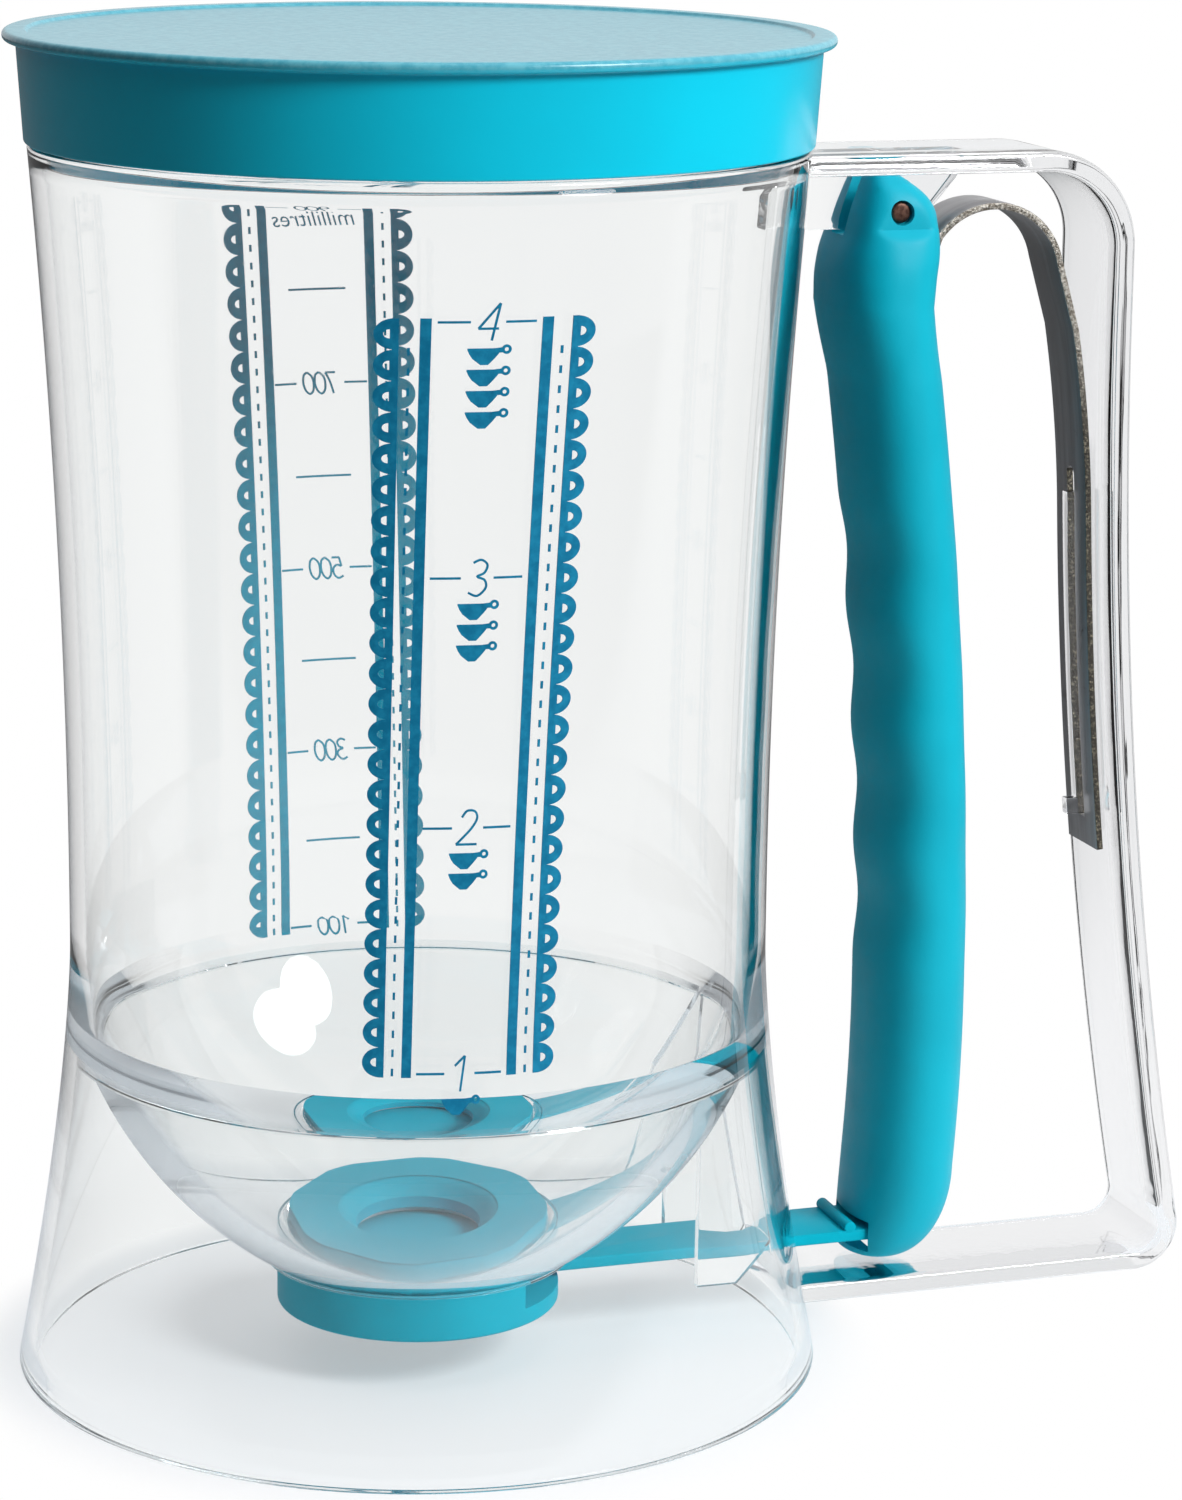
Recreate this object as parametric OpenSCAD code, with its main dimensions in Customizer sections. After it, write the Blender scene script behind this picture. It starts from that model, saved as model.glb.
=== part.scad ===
// Pancake batter dispenser: a clear jug on a flared base, a funnel bowl with a sliding gate under it,
// a hoop handle with a sprung trigger that pulls the gate, and a press-on lid.
// Millimetres, +Z up. The origin is on the table at the jug's axis, and the handle points along +X.

/* [Jug] */
// Outer radius of the edge that stands on the table
base_r = 57.5; // [54:0.5:61]
// Outer radius of the waist
waist_r = 49.3; // [47:0.1:51]
// Outer radius at the shoulder, just under the neck
shoulder_r = 53.6; // [51.5:0.1:57]
// Height at which the flare of the foot ends
flare_top_z = 62; // [56:0.5:68]
// Height at which the upper wall starts to widen
waist_top_z = 70; // [69:0.5:90]
// Height of the ledge under the neck
shoulder_z = 174; // [165:0.5:190]
// Height of the neck above that ledge
neck_h = 13.6; // [10:0.1:18]
// How far the neck is set in from the shoulder
neck_step = 1.4; // [1:0.1:2.5]
// Thickness of the jug's wall and neck
wall = 2.2; // [1.6:0.1:2.8]

/* [Bowl] */
// Height of the crease where the wall meets the bowl
crease_z = 52.2; // [46.6:0.2:54]
// Height of the underside of the bowl's flat floor
floor_low_z = 15.6; // [14:0.1:18]
// Thickness of the flat floor
floor_t = 1.8; // [1.2:0.1:2.6]
// Radius of the outlet through the floor
outlet_r = 9.5; // [8:0.1:9.7]
// Radius of curvature of the bowl's inner face
bowl_curve_r = 60; // [54:1:120]
// Radius of curvature of the bowl's outer face
bowl_under_r = 58; // [50:1:80]

/* [Base skirt] */
// How far under the crease the skirt joins the jug
joint_drop = 3.2; // [2.4:0.2:5]
// Thickness of the skirt
skirt_wall = 2; // [1.4:0.1:2.4]
// Height of the straight step inside the foot
foot_step_h = 3; // [2:0.5:5]

/* [Valve] */
// Outer radius of the valve body
valve_r = 20.3; // [19.9:0.1:21.5]
// Height of the valve body
valve_h = 7.7; // [7.5:0.1:8.4]
// Radius of the outlet through the valve body
spout_r = 10.5; // [9:0.1:11]
// Radius of the round gate
gate_r = 12.6; // [12:0.1:12.8]
// Thickness of the gate and its pull bar
bar_t = 1.7; // [1.6:0.1:2.2]
// Width of the pull bar
bar_w = 12; // [8:0.5:12.6]
// Thickness of the raised disc on the gate
gate_rise = 1.25; // [0.8:0.05:1.35]
// Width of the seal ring
seal_w = 3.4; // [2:0.1:3.6]
// Thickness of the seal ring
seal_t = 0.7; // [0.5:0.05:0.8]
// Height of the seat ring in the bowl
seat_h = 2.2; // [1.5:0.1:3]
// Distance across the flats of the seat ring
seat_flats = 37.2; // [35:0.2:39]
// Radius of the seat ring's opening at its top
seat_mouth_r = 11.55; // [10.8:0.05:13]

/* [Handle] */
// Width of the handle's band
band_w = 20; // [16:0.5:24]
// Thickness of the band
band_t = 3; // [2.4:0.1:3.6]
// Radius of the top corner, outside
top_corner_r = 14; // [10:0.5:18]
// Radius of the heel, outside
heel_r = 7; // [5:0.5:10]
// Height of the lower arm above the table
arm_low_z = 4; // [3.2:0.2:4]
// Gap for the hand between the trigger and the band
hand_gap = 20.8; // [18:0.2:28]
// Radius of the long curve of the band
back_curve_r = 750; // [600:10:1200]
// Thickness of the lug that carries the trigger
lug_t = 4; // [3:0.2:5]
// Depth of the lug below the top arm
lug_h = 8.2; // [7.4:0.1:9]

/* [Trigger] */
// Distance from the shoulder to the trigger's pin
pin_reach = 14; // [13.5:0.5:18]
// Distance from the edge of the base to the middle of the trigger's shank
shank_reach = 17.6; // [16.5:0.2:20]
// Depth of the shank, front to back
shank_depth = 14.5; // [12:0.1:15]
// Width of the shank
shank_w = 24; // [20:0.5:26]
// Wall of the hollow shank
shank_wall = 2.3; // [1.8:0.1:2.6]
// Distance between the finger grooves
groove_pitch = 17.6; // [16:0.2:19]
// Depth of the finger grooves
groove_depth = 0.8; // [0.2:0.1:1.2]
// Diameter of the trigger's pin
pin_d = 3; // [2.4:0.1:3.4]
// Length of the trigger's pin
pin_len = 17; // [12:0.5:18]

/* [Leaf spring] */
// Width of the leaf spring
spring_w = 10.4; // [8:0.2:11]
// Thickness of the leaf spring
spring_t = 1; // [0.6:0.1:1.2]
// Height of the spring's lower end above the table
spring_low_z = 68.5; // [60:0.5:76]
// Radius of the spring's loop at its middle line
spring_loop_r = 10.4; // [9.5:0.1:10.8]

/* [Lid] */
// How far the lid's flange stands out past its skirt
flange_out = 1.8; // [1.2:0.1:4]
// Thickness of the lid's top
lid_t = 1.5; // [1.2:0.1:2.5]
// Thickness of the lid's skirt
lid_wall = 1.6; // [1.2:0.1:2]
// How much wider the lid's skirt is at its top than at its lower edge
lid_flare = 0.9; // [0:0.1:1.4]
// Depth of the ring that plugs the neck
plug_h = 6; // [4:0.5:10]
// Thickness of that ring
plug_t = 1.4; // [1:0.1:2]
// Depth of the panel in the lid's top
panel_depth = 0.4; // [0.2:0.1:0.8]

/* [Scales] */
// Thickness of the print
ink_t = 0.15; // [0.1:0.05:0.3]
// Width of the thin printed bars
bar_print_w = 0.9; // [0.5:0.1:1.5]
// Width of the broad printed bands
band_print_w = 1.8; // [1:0.1:2.5]
// Height of the first cup mark
cup_low_z = 56.2; // [54:0.2:60]
// Distance between the cup marks
cup_pitch = 33.4; // [28:0.2:34]
// Height of the first millilitre mark
ml_low_z = 50.4; // [48:0.2:56]
// Distance between the millilitre marks
ml_pitch = 13.9; // [12:0.1:14]

/* [Hidden] */

round_fn = 96;
small_fn = 32;
eps = 0.01;
cut = 1;

// clearances
free_gap = 0.3;
slide_gap = 0.4;
seat_gap = 0.2;
pin_gap = 0.05;
ink_gap = 0.03;

// jug
flare_power = 1.5;
joint_z = crease_z - joint_drop;
rim_z = shoulder_z + neck_h;
neck_r = shoulder_r - neck_step;
neck_in_r = neck_r - wall;
neck_slope_h = 1.5;
floor_z = floor_low_z + floor_t;
seat_corner = 0.7;
seat_lip = 0.3;
collar_h = 0.7;
collar_w = 1.7;
collar_r = valve_r + seat_gap;
seat_r = seat_flats / 2 + seat_corner;
floor_r = seat_r + free_gap;
foot_bore_r = wall_r(foot_step_h) - skirt_wall;

// valve
seal_r = outlet_r + free_gap;
chamber_top_z = floor_low_z - seal_t;
gate_low_z = chamber_top_z - slide_gap - gate_rise - bar_t;
valve_low_z = floor_low_z - valve_h;
chamber_half_w = gate_r + slide_gap * 2;
chamber_low_z = gate_low_z - free_gap;
window_margin = 3.7;
window_half_w = chamber_half_w + window_margin;
window_step = 0.7;
window_low_z = chamber_low_z - window_step;
window_x = spout_r + seat_gap;
leg_w = 5;
leg_t = 2;
leg_inset = 0.5;
leg_y = (chamber_half_w + valve_r) / 2 - leg_inset;
leg_h = 5.4;
bar_window_gap = 0.5;
bar_top_z = gate_low_z + bar_t;
rib_r = 0.9;
hook_t = 1.8;
hook_h = 2.1;
hook_inset = 1;

// guide plates
guide_t = 1.5;
guide_drop = 7.9;
guide_low_z = floor_low_z - guide_drop;
guide_depth = 9.9;
guide_front_x = wall_r(joint_z) - guide_depth;
guide_slope = 6.3;

// handle
lid_low_z = shoulder_z + free_gap;
arm_drop = 2;
arm_top_z = shoulder_z - arm_drop;
shank_x = base_r + shank_reach;
grip_x = shank_x + shank_depth / 2 + hand_gap;
bend_drop = 8;
bend_z = arm_top_z - top_corner_r - bend_drop;
back_centre = [grip_x + back_curve_r, bend_z];
heel_dz = bend_z - arm_low_z - heel_r;
heel_angle = asin(heel_dz / (back_curve_r + heel_r));
heel_step = 12;
heel_centre = [back_centre.x - (back_curve_r + heel_r) * cos(heel_angle), arm_low_z + heel_r];

// trigger's lug and pin
pin_x = shoulder_r + pin_reach;
lug_top_z = arm_top_z - band_t;
pin_drop = 5.3;
pin_z = lug_top_z - pin_drop;
lug_low_z = lug_top_z - lug_h;
lug_tip = 11.6;
lug_nose = 10.8;
lug_nose_h = 1.3;
lug_foot = 4.9;

// trigger
lug_slot_gap = 0.3;
lug_slot_depth = 0.8;
head_drop = 13.7;
head_z = pin_z - head_drop;
head_top_z = lug_top_z - slide_gap;
// the head's front and back, and how far its sides draw in, each against the height over the pin
head_front = [[-head_drop, -7.95], [-9.5, -7.85], [-6.5, -7.3], [-3.4, -6.2], [0, -5.3], [2.3, -4.5],
              [4.9, -3.6]];
head_back = [[-head_drop, 6.85], [-10, 7.1], [-7, 7.4], [-4.5, 7.3], [-2, 6.95], [0, 6.6], [1.8, 5.5],
             [3.4, 3.7], [4.9, 1.4]];
head_taper = [[-head_drop, 0], [-8, 0.3], [-4, 1.2], [-1, 2.1], [1.5, 3], [3.4, 4.2], [4.9, 5.9]];
// below the head the shank swells forward and draws in at the back
swell_h = 8.5;
swell_drop = 24;
swell_low_z = pin_z - swell_drop;
swell_front = 0.6;
swell_back = 0.3;
knee_rise = 36.4;
knee_z = gate_low_z + knee_rise;
toe_drop = 2.5;
toe_z = gate_low_z - toe_drop;
toe_h = 13.5;
toe_top_z = toe_z + toe_h;
toe_in = 2.4;
toe_depth = 7.5;
toe_half_w = 6.5;
notch_gap = 0.6;
notch_drop = 1.7;
notch_low_z = gate_low_z - notch_drop;
notch_rise = 1.2;
notch_top_z = bar_top_z + notch_rise;
notch_front_x = front_x(bar_top_z);
notch_back_x = notch_front_x + shank_wall;
hook_room = 5;
cavity_h = 12.9;
cavity_low_z = toe_z + cavity_h;
back_slot_h = 6.9;
back_slot_low_z = toe_z + back_slot_h;
back_slot_gap = 0.6;
back_slot_half_w = spring_w / 2 + back_slot_gap;
tongue_room = 2.4;
tongue_room_drop = 15.7;
cavity_drop = 9.7;
cavity_top_z = pin_z - cavity_drop;
groove_count = 4;
groove_drop = 49.7;
groove_top_z = pin_z - groove_drop;
shank_steps = 26;
around = 24;

// leaf spring and keeper
loop_reach = 15.7;
loop_drop = 10.2;
loop_centre = [pin_x + loop_reach, pin_z - loop_drop];
loop_start = 144;
loop_stop = 12;
tongue_reach = 3.6;
tongue_drop = 14.7;
spring_gap = 1;
bend_up_drop = 45;
spring_bend_z = pin_z - bend_up_drop;
leaf_drop = 18;
leaf_top_z = pin_z - leaf_drop;
spring_lift = 2.3;
keeper_w = 1.8;
keeper_rise = 4.5;
keeper_low_z = spring_low_z + keeper_rise;
keeper_h = 48.5;
keeper_depth = 3;
keeper_hook_h = 2.5;
keeper_hook_depth = 4.6;
keeper_gap = 0.4;
slot_over = 2.5;

// lid
lid_seat_z = rim_z + free_gap;
lid_top_z = lid_seat_z + lid_t;
lid_skirt_r = neck_r + seat_gap + lid_wall;
plug_r = neck_in_r - free_gap;
flange_r = lid_skirt_r + lid_flare + flange_out;
panel_inset = 3.1;
panel_r = flange_r - panel_inset;
flange_edge_r = 0.6;

// scales: each is centred on an angle around the jug's axis, and its offsets run along the wall
cup_az = -96.4;
cup_marks = 4;
cup_bar_offset = 7.4;
cup_band_offset = 11.7;
cup_band_drop = 0.5;
cup_dash_offset = 4.3;
cup_dash_w = 3;
ml_az = 91.5;
ml_marks = 9;
ml_band_offset = 12.5;
ml_band_drop = 1;
ml_tick_offset = 4.3;
ml_tick_w = 6;
ml_long_tick_w = 10;
tick_h = 0.9;

// Outer radius of the jug and its base at height z
function wall_r(z) =
    z < flare_top_z ? waist_r + (base_r - waist_r) * pow((flare_top_z - z) / flare_top_z, flare_power) :
    z > waist_top_z ? waist_r + (shoulder_r - waist_r)
        * pow((z - waist_top_z) / (shoulder_z - waist_top_z), 2) :
    waist_r;

// Inner radius of the jug: straight below the waist, so that the moulding's core draws out
function bore_r(z) = wall_r(max(z, flare_top_z)) - wall;

// Points of an arc round centre c
function arc(c, r, a0, a1, steps) =
    [for (i = [0 : steps]) let (a = a0 + (a1 - a0) * i / steps) c + r * [cos(a), sin(a)]];

// Points between p and q on an arc of radius r that bulges to the right of the way from p to q
function bulge(p, q, r, steps) =
    let (d = q - p, half = norm(d) / 2, u = d / norm(d), rise = sqrt(r * r - half * half),
         c = (p + q) / 2 + rise * [-u.y, u.x],
         a0 = atan2(p.y - c.y, p.x - c.x), a1 = atan2(q.y - c.y, q.x - c.x))
    arc(c, r, a0, a1, steps);

// Evenly spaced heights from z0 to z1
function heights(z0, z1, steps) = [for (i = [0 : steps]) z0 + (z1 - z0) * i / steps];
function reversed(list) = [for (i = [len(list) - 1 : -1 : 0]) list[i]];

// Outline of a band of thickness t along a path
function ribbon(path, t) =
    let (n = len(path) - 1,
         normals = [for (i = [0 : n])
             let (d = path[min(i + 1, n)] - path[max(i - 1, 0)]) [-d.y, d.x] / norm(d)])
    concat([for (i = [0 : n]) path[i] + normals[i] * t / 2],
           [for (i = [n : -1 : 0]) path[i] - normals[i] * t / 2]);

// Outer faces of the jug and the skirt, from low to high
function jug_outside() =
    [for (z = concat(heights(joint_z, flare_top_z, 4), heights(waist_top_z, shoulder_z, 10))) [wall_r(z), z]];
function skirt_outside() = [for (z = heights(0, joint_z, 12)) [wall_r(z), z]];
function skirt_inside() = [for (z = heights(foot_step_h, joint_z, 10)) [wall_r(z) - skirt_wall, z]];

// Underside of the bowl, from the valve's collar up to the skirt
function bowl_underside() =
    bulge([collar_r + collar_w, floor_low_z], [wall_r(joint_z) - skirt_wall, joint_z], bowl_under_r, 10);

// Everything inside the outer face, to cut what stands on it
module body_core() {
    rotate_extrude($fn = round_fn)
        polygon(concat([[0, 0]], skirt_outside(), jug_outside(), [[0, shoulder_z]]));
}

// The room under the bowl
module under_room() {
    rotate_extrude($fn = round_fn)
        polygon(concat([[0, foot_step_h]], skirt_inside(), reversed(bowl_underside()), [[0, floor_low_z]]));
}

// A shape drawn in x and z, t thick, with its middle at y
module upright(points, t, y = 0) {
    translate([0, y + t / 2, 0]) rotate([90, 0, 0]) linear_extrude(height = t) polygon(points);
}

module bar_y(r, len, x, z) {
    translate([x, len / 2, z]) rotate([90, 0, 0]) cylinder(r = r, h = len, $fn = small_fn);
}

module block(low, high) {
    translate(low) cube(high - low);
}

// Slots for the seat ring's two legs
module leg_slots(z0, z1) {
    for (side = [-1, 1])
        block([-leg_w / 2 - seat_gap, side * leg_y - leg_t / 2 - seat_gap, z0],
              [leg_w / 2 + seat_gap, side * leg_y + leg_t / 2 + seat_gap, z1]);
}

// A block from low to high in x and z, w wide and centred on y = 0
module centred_block(low, high, w) {
    block([low.x, -w / 2, low.y], [high.x, w / 2, high.y]);
}

module jar() {
    color([0.86, 0.9, 0.92, 0.45]) difference() {
        rotate_extrude($fn = round_fn) polygon(concat(
            jug_outside(),
            [[neck_r, shoulder_z], [neck_r, rim_z], [neck_in_r, rim_z],
             [neck_in_r, shoulder_z + neck_slope_h]],
            [for (z = heights(shoulder_z - neck_slope_h, waist_top_z, 9)) [bore_r(z), z]],
            reversed(bulge([floor_r, floor_z], [bore_r(crease_z), crease_z], bowl_curve_r, 10)),
            [[outlet_r, floor_z], [outlet_r, floor_low_z],
             [collar_r, floor_low_z], [collar_r, floor_low_z - collar_h],
             [collar_r + collar_w, floor_low_z - collar_h]],
            bowl_underside()));
        leg_slots(floor_low_z - cut, floor_z + cut);
    }
}

module base_skirt() {
    color([0.86, 0.9, 0.92, 0.45]) difference() {
        rotate_extrude($fn = round_fn)
            polygon(concat(skirt_outside(), reversed(skirt_inside()), [[foot_bore_r, 0]]));
        block([waist_r / 2, -bar_w / 2 - bar_window_gap, gate_low_z - bar_window_gap],
              [base_r + cut, bar_w / 2 + bar_window_gap, bar_top_z + bar_window_gap]);
    }
}

// Plate that keeps the pull bar straight, on one side of it
module guide(side) {
    slope_top_z = guide_low_z + guide_slope;
    color([0.84, 0.88, 0.9, 0.5]) intersection() {
        upright([[guide_front_x, guide_low_z], [guide_front_x + guide_slope, guide_low_z],
                 [guide_front_x + 2 * guide_slope, slope_top_z], [base_r, slope_top_z],
                 [base_r, joint_z], [guide_front_x, joint_z]],
                guide_t, side * (bar_w / 2 + slide_gap + guide_t / 2));
        under_room();
    }
}

module guide_left() { guide(1); }
module guide_right() { guide(-1); }

function handle_path() = concat(
    [[waist_r / 2, arm_top_z - band_t / 2]],
    arc([grip_x - top_corner_r, arm_top_z - top_corner_r], top_corner_r - band_t / 2, 90, 0, 8),
    arc(back_centre, back_curve_r + band_t / 2, 180, 180 + heel_angle, 8),
    arc(heel_centre, heel_r - band_t / 2, heel_angle - heel_step, -90, 7),
    [[waist_r / 2, arm_low_z + band_t / 2]]);

// Inner face of the band at height z
function band_in_x(z) = back_centre.x - sqrt(pow(back_curve_r + band_t, 2) - pow(min(0, z - bend_z), 2));

module handle() {
    color([0.88, 0.92, 0.94, 0.5]) difference() {
        upright(ribbon(handle_path(), band_t), band_w);
        body_core();
    }
}

module trigger_lug() {
    color([0.85, 0.89, 0.92, 0.5]) difference() {
        upright([[waist_r / 2, lug_top_z], [pin_x + lug_tip, lug_top_z],
                 [pin_x + lug_nose, lug_top_z - lug_nose_h], [pin_x + lug_foot, lug_low_z],
                 [waist_r / 2, lug_low_z]], lug_t);
        body_core();
        bar_y(pin_d / 2 + pin_gap, lug_t + 2 * cut, pin_x, pin_z);
    }
}

module spring_keeper() {
    zs = heights(keeper_low_z, keeper_low_z + keeper_h, 8);
    hook_z = keeper_low_z + keeper_hook_h;
    color([0.84, 0.88, 0.9, 0.5])
        upright(concat([for (z = zs) [band_in_x(z), z]],
                       [for (z = reversed(zs)) if (z > hook_z) [band_in_x(z) - keeper_depth, z]],
                       [[band_in_x(hook_z) - keeper_depth, hook_z],
                        [band_in_x(hook_z) - keeper_hook_depth, hook_z],
                        [band_in_x(keeper_low_z) - keeper_hook_depth, keeper_low_z]]), keeper_w);
}

module seat_ring() {
    color([0.05, 0.45, 0.55]) {
        difference() {
            translate([0, 0, floor_z]) intersection() {
                cylinder(r = seat_r, h = seat_h, $fn = round_fn);
                rotate(22.5) cylinder(r = seat_flats / 2 / cos(22.5), h = seat_h, $fn = 8);
            }
            translate([0, 0, floor_z - eps])
                cylinder(r1 = outlet_r - seat_lip, r2 = seat_mouth_r, h = seat_h + 2 * eps, $fn = round_fn);
        }
        for (side = [-1, 1])
            block([-leg_w / 2, side * leg_y - leg_t / 2, floor_z - leg_h],
                  [leg_w / 2, side * leg_y + leg_t / 2, floor_z + seat_h / 2]);
    }
}

module gate_seal() {
    color([0.75, 0.8, 0.82]) translate([0, 0, chamber_top_z]) difference() {
        cylinder(r = seal_r + seal_w, h = seal_t, $fn = round_fn);
        translate([0, 0, -cut]) cylinder(r = seal_r, h = seal_t + 2 * cut, $fn = round_fn);
    }
}

module valve_body() {
    color([0.04, 0.42, 0.52]) difference() {
        translate([0, 0, valve_low_z]) cylinder(r = valve_r, h = valve_h, $fn = round_fn);
        block([-chamber_half_w - free_gap, -chamber_half_w, chamber_low_z],
              [valve_r + cut, chamber_half_w, floor_low_z + cut]);
        block([window_x, -window_half_w, window_low_z], [valve_r + cut, window_half_w, floor_low_z + cut]);
        translate([0, 0, valve_low_z - cut]) cylinder(r = spout_r, h = valve_h, $fn = round_fn);
        leg_slots(floor_z - leg_h - seat_gap, floor_low_z + cut);
    }
}

module gate_slide() {
    hook_x = notch_back_x + slide_gap;
    color([0.1, 0.6, 0.7]) {
        translate([0, 0, gate_low_z]) cylinder(r = gate_r, h = bar_t + gate_rise, $fn = round_fn);
        block([0, -bar_w / 2, gate_low_z], [hook_x + hook_t, bar_w / 2, bar_top_z]);
        bar_y(rib_r, bar_w, notch_front_x - rib_r - slide_gap, bar_top_z + rib_r / 2);
        block([hook_x, hook_inset - bar_w / 2, bar_top_z - eps],
              [hook_x + hook_t, bar_w / 2 - hook_inset, bar_top_z + hook_h]);
    }
}

// Middle line of the trigger's shank
function spine_x(z) =
    z > knee_z ? shank_x - (shank_x - pin_x + 0.1) * pow((z - knee_z) / (head_z - knee_z), 2)
               : shank_x - toe_in * pow((knee_z - z) / (knee_z - toe_z), 2);
function groove(z) =
    let (n = (groove_top_z - z) / groove_pitch)
    n > -0.5 && n < groove_count - 0.5 ? groove_depth * (1 + cos(360 * n)) / 2 : 0;

// How much of the swell below the head there is at height z, 0 to 1
function swell(z) = sin(90 * max(0, min(1, (z - swell_low_z) / swell_h)));

// Front face, back face and half width of the trigger at height z
function front_x(z) =
    z > head_z ? pin_x + lookup(z - pin_z, head_front) :
    spine_x(z) - shank_depth / 2 - swell_front * swell(z);
function back_x(z) =
    z > head_z ? pin_x + lookup(z - pin_z, head_back) :
    z < toe_top_z ? front_x(toe_z) + toe_depth
        + (spine_x(toe_top_z) + shank_depth / 2 - front_x(toe_z) - toe_depth)
        * sqrt(1 - pow((toe_top_z - z) / (toe_top_z - toe_z), 2)) :
    spine_x(z) + shank_depth / 2 - swell_back * swell(z);
function half_w(z) =
    z > head_z ? shank_w / 2 - lookup(z - pin_z, head_taper) :
    z < toe_top_z ? toe_half_w + (shank_w / 2 - toe_half_w)
        * sqrt(1 - pow((toe_top_z - z) / (toe_top_z - toe_z), 2)) :
    shank_w / 2;

// An upright solid with oval sections at the given heights, set in from the trigger's faces
module oval_shell(zs, inset) {
    n = len(zs);
    points = [for (z = zs) let (f = front_x(z) + (inset > 0 ? inset : groove(z)), b = back_x(z) - inset)
        for (i = [0 : around - 1]) let (a = 360 * i / around)
            [(f + b) / 2 + (b - f) / 2 * cos(a), (half_w(z) - inset) * sin(a), z]];
    sides = [for (k = [0 : n - 2], i = [0 : around - 1]) let (j = (i + 1) % around)
        [k * around + i, k * around + around + i, k * around + around + j, k * around + j]];
    polyhedron(points = points, convexity = 8, faces = concat(
        [[for (i = [0 : around - 1]) i]],
        sides,
        [[for (i = [around - 1 : -1 : 0]) (n - 1) * around + i]]));
}

module trigger() {
    toe_zs = [for (a = [0 : 15 : 75]) toe_top_z - (toe_top_z - toe_z) * cos(a)];
    head_zs = [for (dz = [-11.5, -9.5, -6.5, -4.5, -2.8, -1, 0.6, 2.1, 3.5]) pin_z + dz];
    color([0.1, 0.62, 0.73]) difference() {
        oval_shell(concat(toe_zs, heights(toe_top_z, head_z, shank_steps), head_zs, [head_top_z]), 0);
        oval_shell(heights(cavity_low_z, cavity_top_z, 16), shank_wall);
        // notch for the pull bar, open below behind the front wall
        centred_block([notch_front_x - cut, notch_low_z], [notch_back_x + hook_room, notch_top_z],
                      bar_w + 2 * notch_gap);
        centred_block([notch_back_x, toe_z - cut], [notch_back_x + hook_room, cavity_low_z + eps],
                      bar_w + 2 * notch_gap);
        // slot down the back, and the room for the spring's tongue above it
        centred_block([shank_x, back_slot_low_z], [shank_x + shank_depth, head_z], 2 * back_slot_half_w);
        centred_block([pin_x + tongue_room, pin_z - tongue_room_drop],
                      [pin_x + shank_depth, head_top_z + cut], 2 * back_slot_half_w);
        // slot for the lug
        centred_block([pin_x - shank_depth, lug_low_z - lug_slot_depth],
                      [pin_x + shank_depth, head_top_z + cut], lug_t + 2 * lug_slot_gap);
        bar_y(pin_d / 2 + pin_gap, shank_w + 2 * cut, pin_x, pin_z);
    }
}

module pivot_pin() {
    color([0.6, 0.56, 0.52]) bar_y(pin_d / 2, pin_len, pin_x, pin_z);
}

// The spring's lower leaf stands off the band and leans away from it above its bend
function spring_x(z) =
    band_in_x(z) - spring_gap - spring_t / 2
    - spring_lift * pow(max(0, z - spring_bend_z) / (leaf_top_z - spring_bend_z), 2);
function spring_path() = concat(
    [[pin_x + tongue_reach, pin_z - tongue_drop]],
    arc(loop_centre, spring_loop_r, loop_start, loop_stop, 10),
    [for (z = heights(leaf_top_z, spring_low_z, 8)) [spring_x(z), z]]);

// Slot for the keeper, round at its top
module keeper_slot() {
    half_slot_w = keeper_w / 2 + keeper_gap;
    high_z = keeper_low_z + keeper_h + slot_over;
    centred_block([grip_x - hand_gap, keeper_low_z - keeper_gap], [grip_x + hand_gap, high_z],
                  2 * half_slot_w);
    translate([grip_x - hand_gap, 0, high_z]) rotate([0, 90, 0])
        cylinder(r = half_slot_w, h = 2 * hand_gap, $fn = small_fn);
}

module leaf_spring() {
    color([0.6, 0.61, 0.63]) difference() {
        upright(ribbon(spring_path(), spring_t), spring_w);
        keeper_slot();
    }
}

module lid() {
    skirt_top_r = lid_skirt_r + lid_flare;
    color([0.2, 0.72, 0.82]) rotate_extrude($fn = round_fn) polygon(concat(
        [[0, lid_seat_z], [plug_r - plug_t, lid_seat_z], [plug_r - plug_t, rim_z - plug_h],
         [plug_r, rim_z - plug_h], [plug_r, lid_seat_z],
         [skirt_top_r - lid_wall, lid_seat_z], [lid_skirt_r - lid_wall, lid_low_z],
         [lid_skirt_r, lid_low_z], [skirt_top_r, lid_seat_z]],
        arc([flange_r - flange_edge_r, lid_seat_z + flange_edge_r], flange_edge_r, -90, 0, 4),
        arc([flange_r - flange_edge_r, lid_top_z - flange_edge_r], flange_edge_r, 0, 90, 4),
        [[panel_r, lid_top_z], [panel_r - panel_depth, lid_top_z - panel_depth],
         [0, lid_top_z - panel_depth]]));
}

// The angle that a length along the wall takes up
function turn(length) = length / waist_r * 180 / PI;

// A patch of print on the wall, w wide, with its middle a length along the wall from the angle az
module patch(az, along, w, z0, z1, steps = 1) {
    zs = heights(z0, z1, steps);
    angle = turn(w);
    rotate(az + turn(along) - angle / 2) rotate_extrude(angle = angle, $fn = round_fn) polygon(concat(
        [for (z = zs) [wall_r(z) + ink_gap, z]],
        [for (z = reversed(zs)) [wall_r(z) + ink_gap + ink_t, z]]));
}

module tick(az, along, w, z) {
    patch(az, along, w, z - tick_h / 2, z + tick_h / 2);
}

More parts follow.
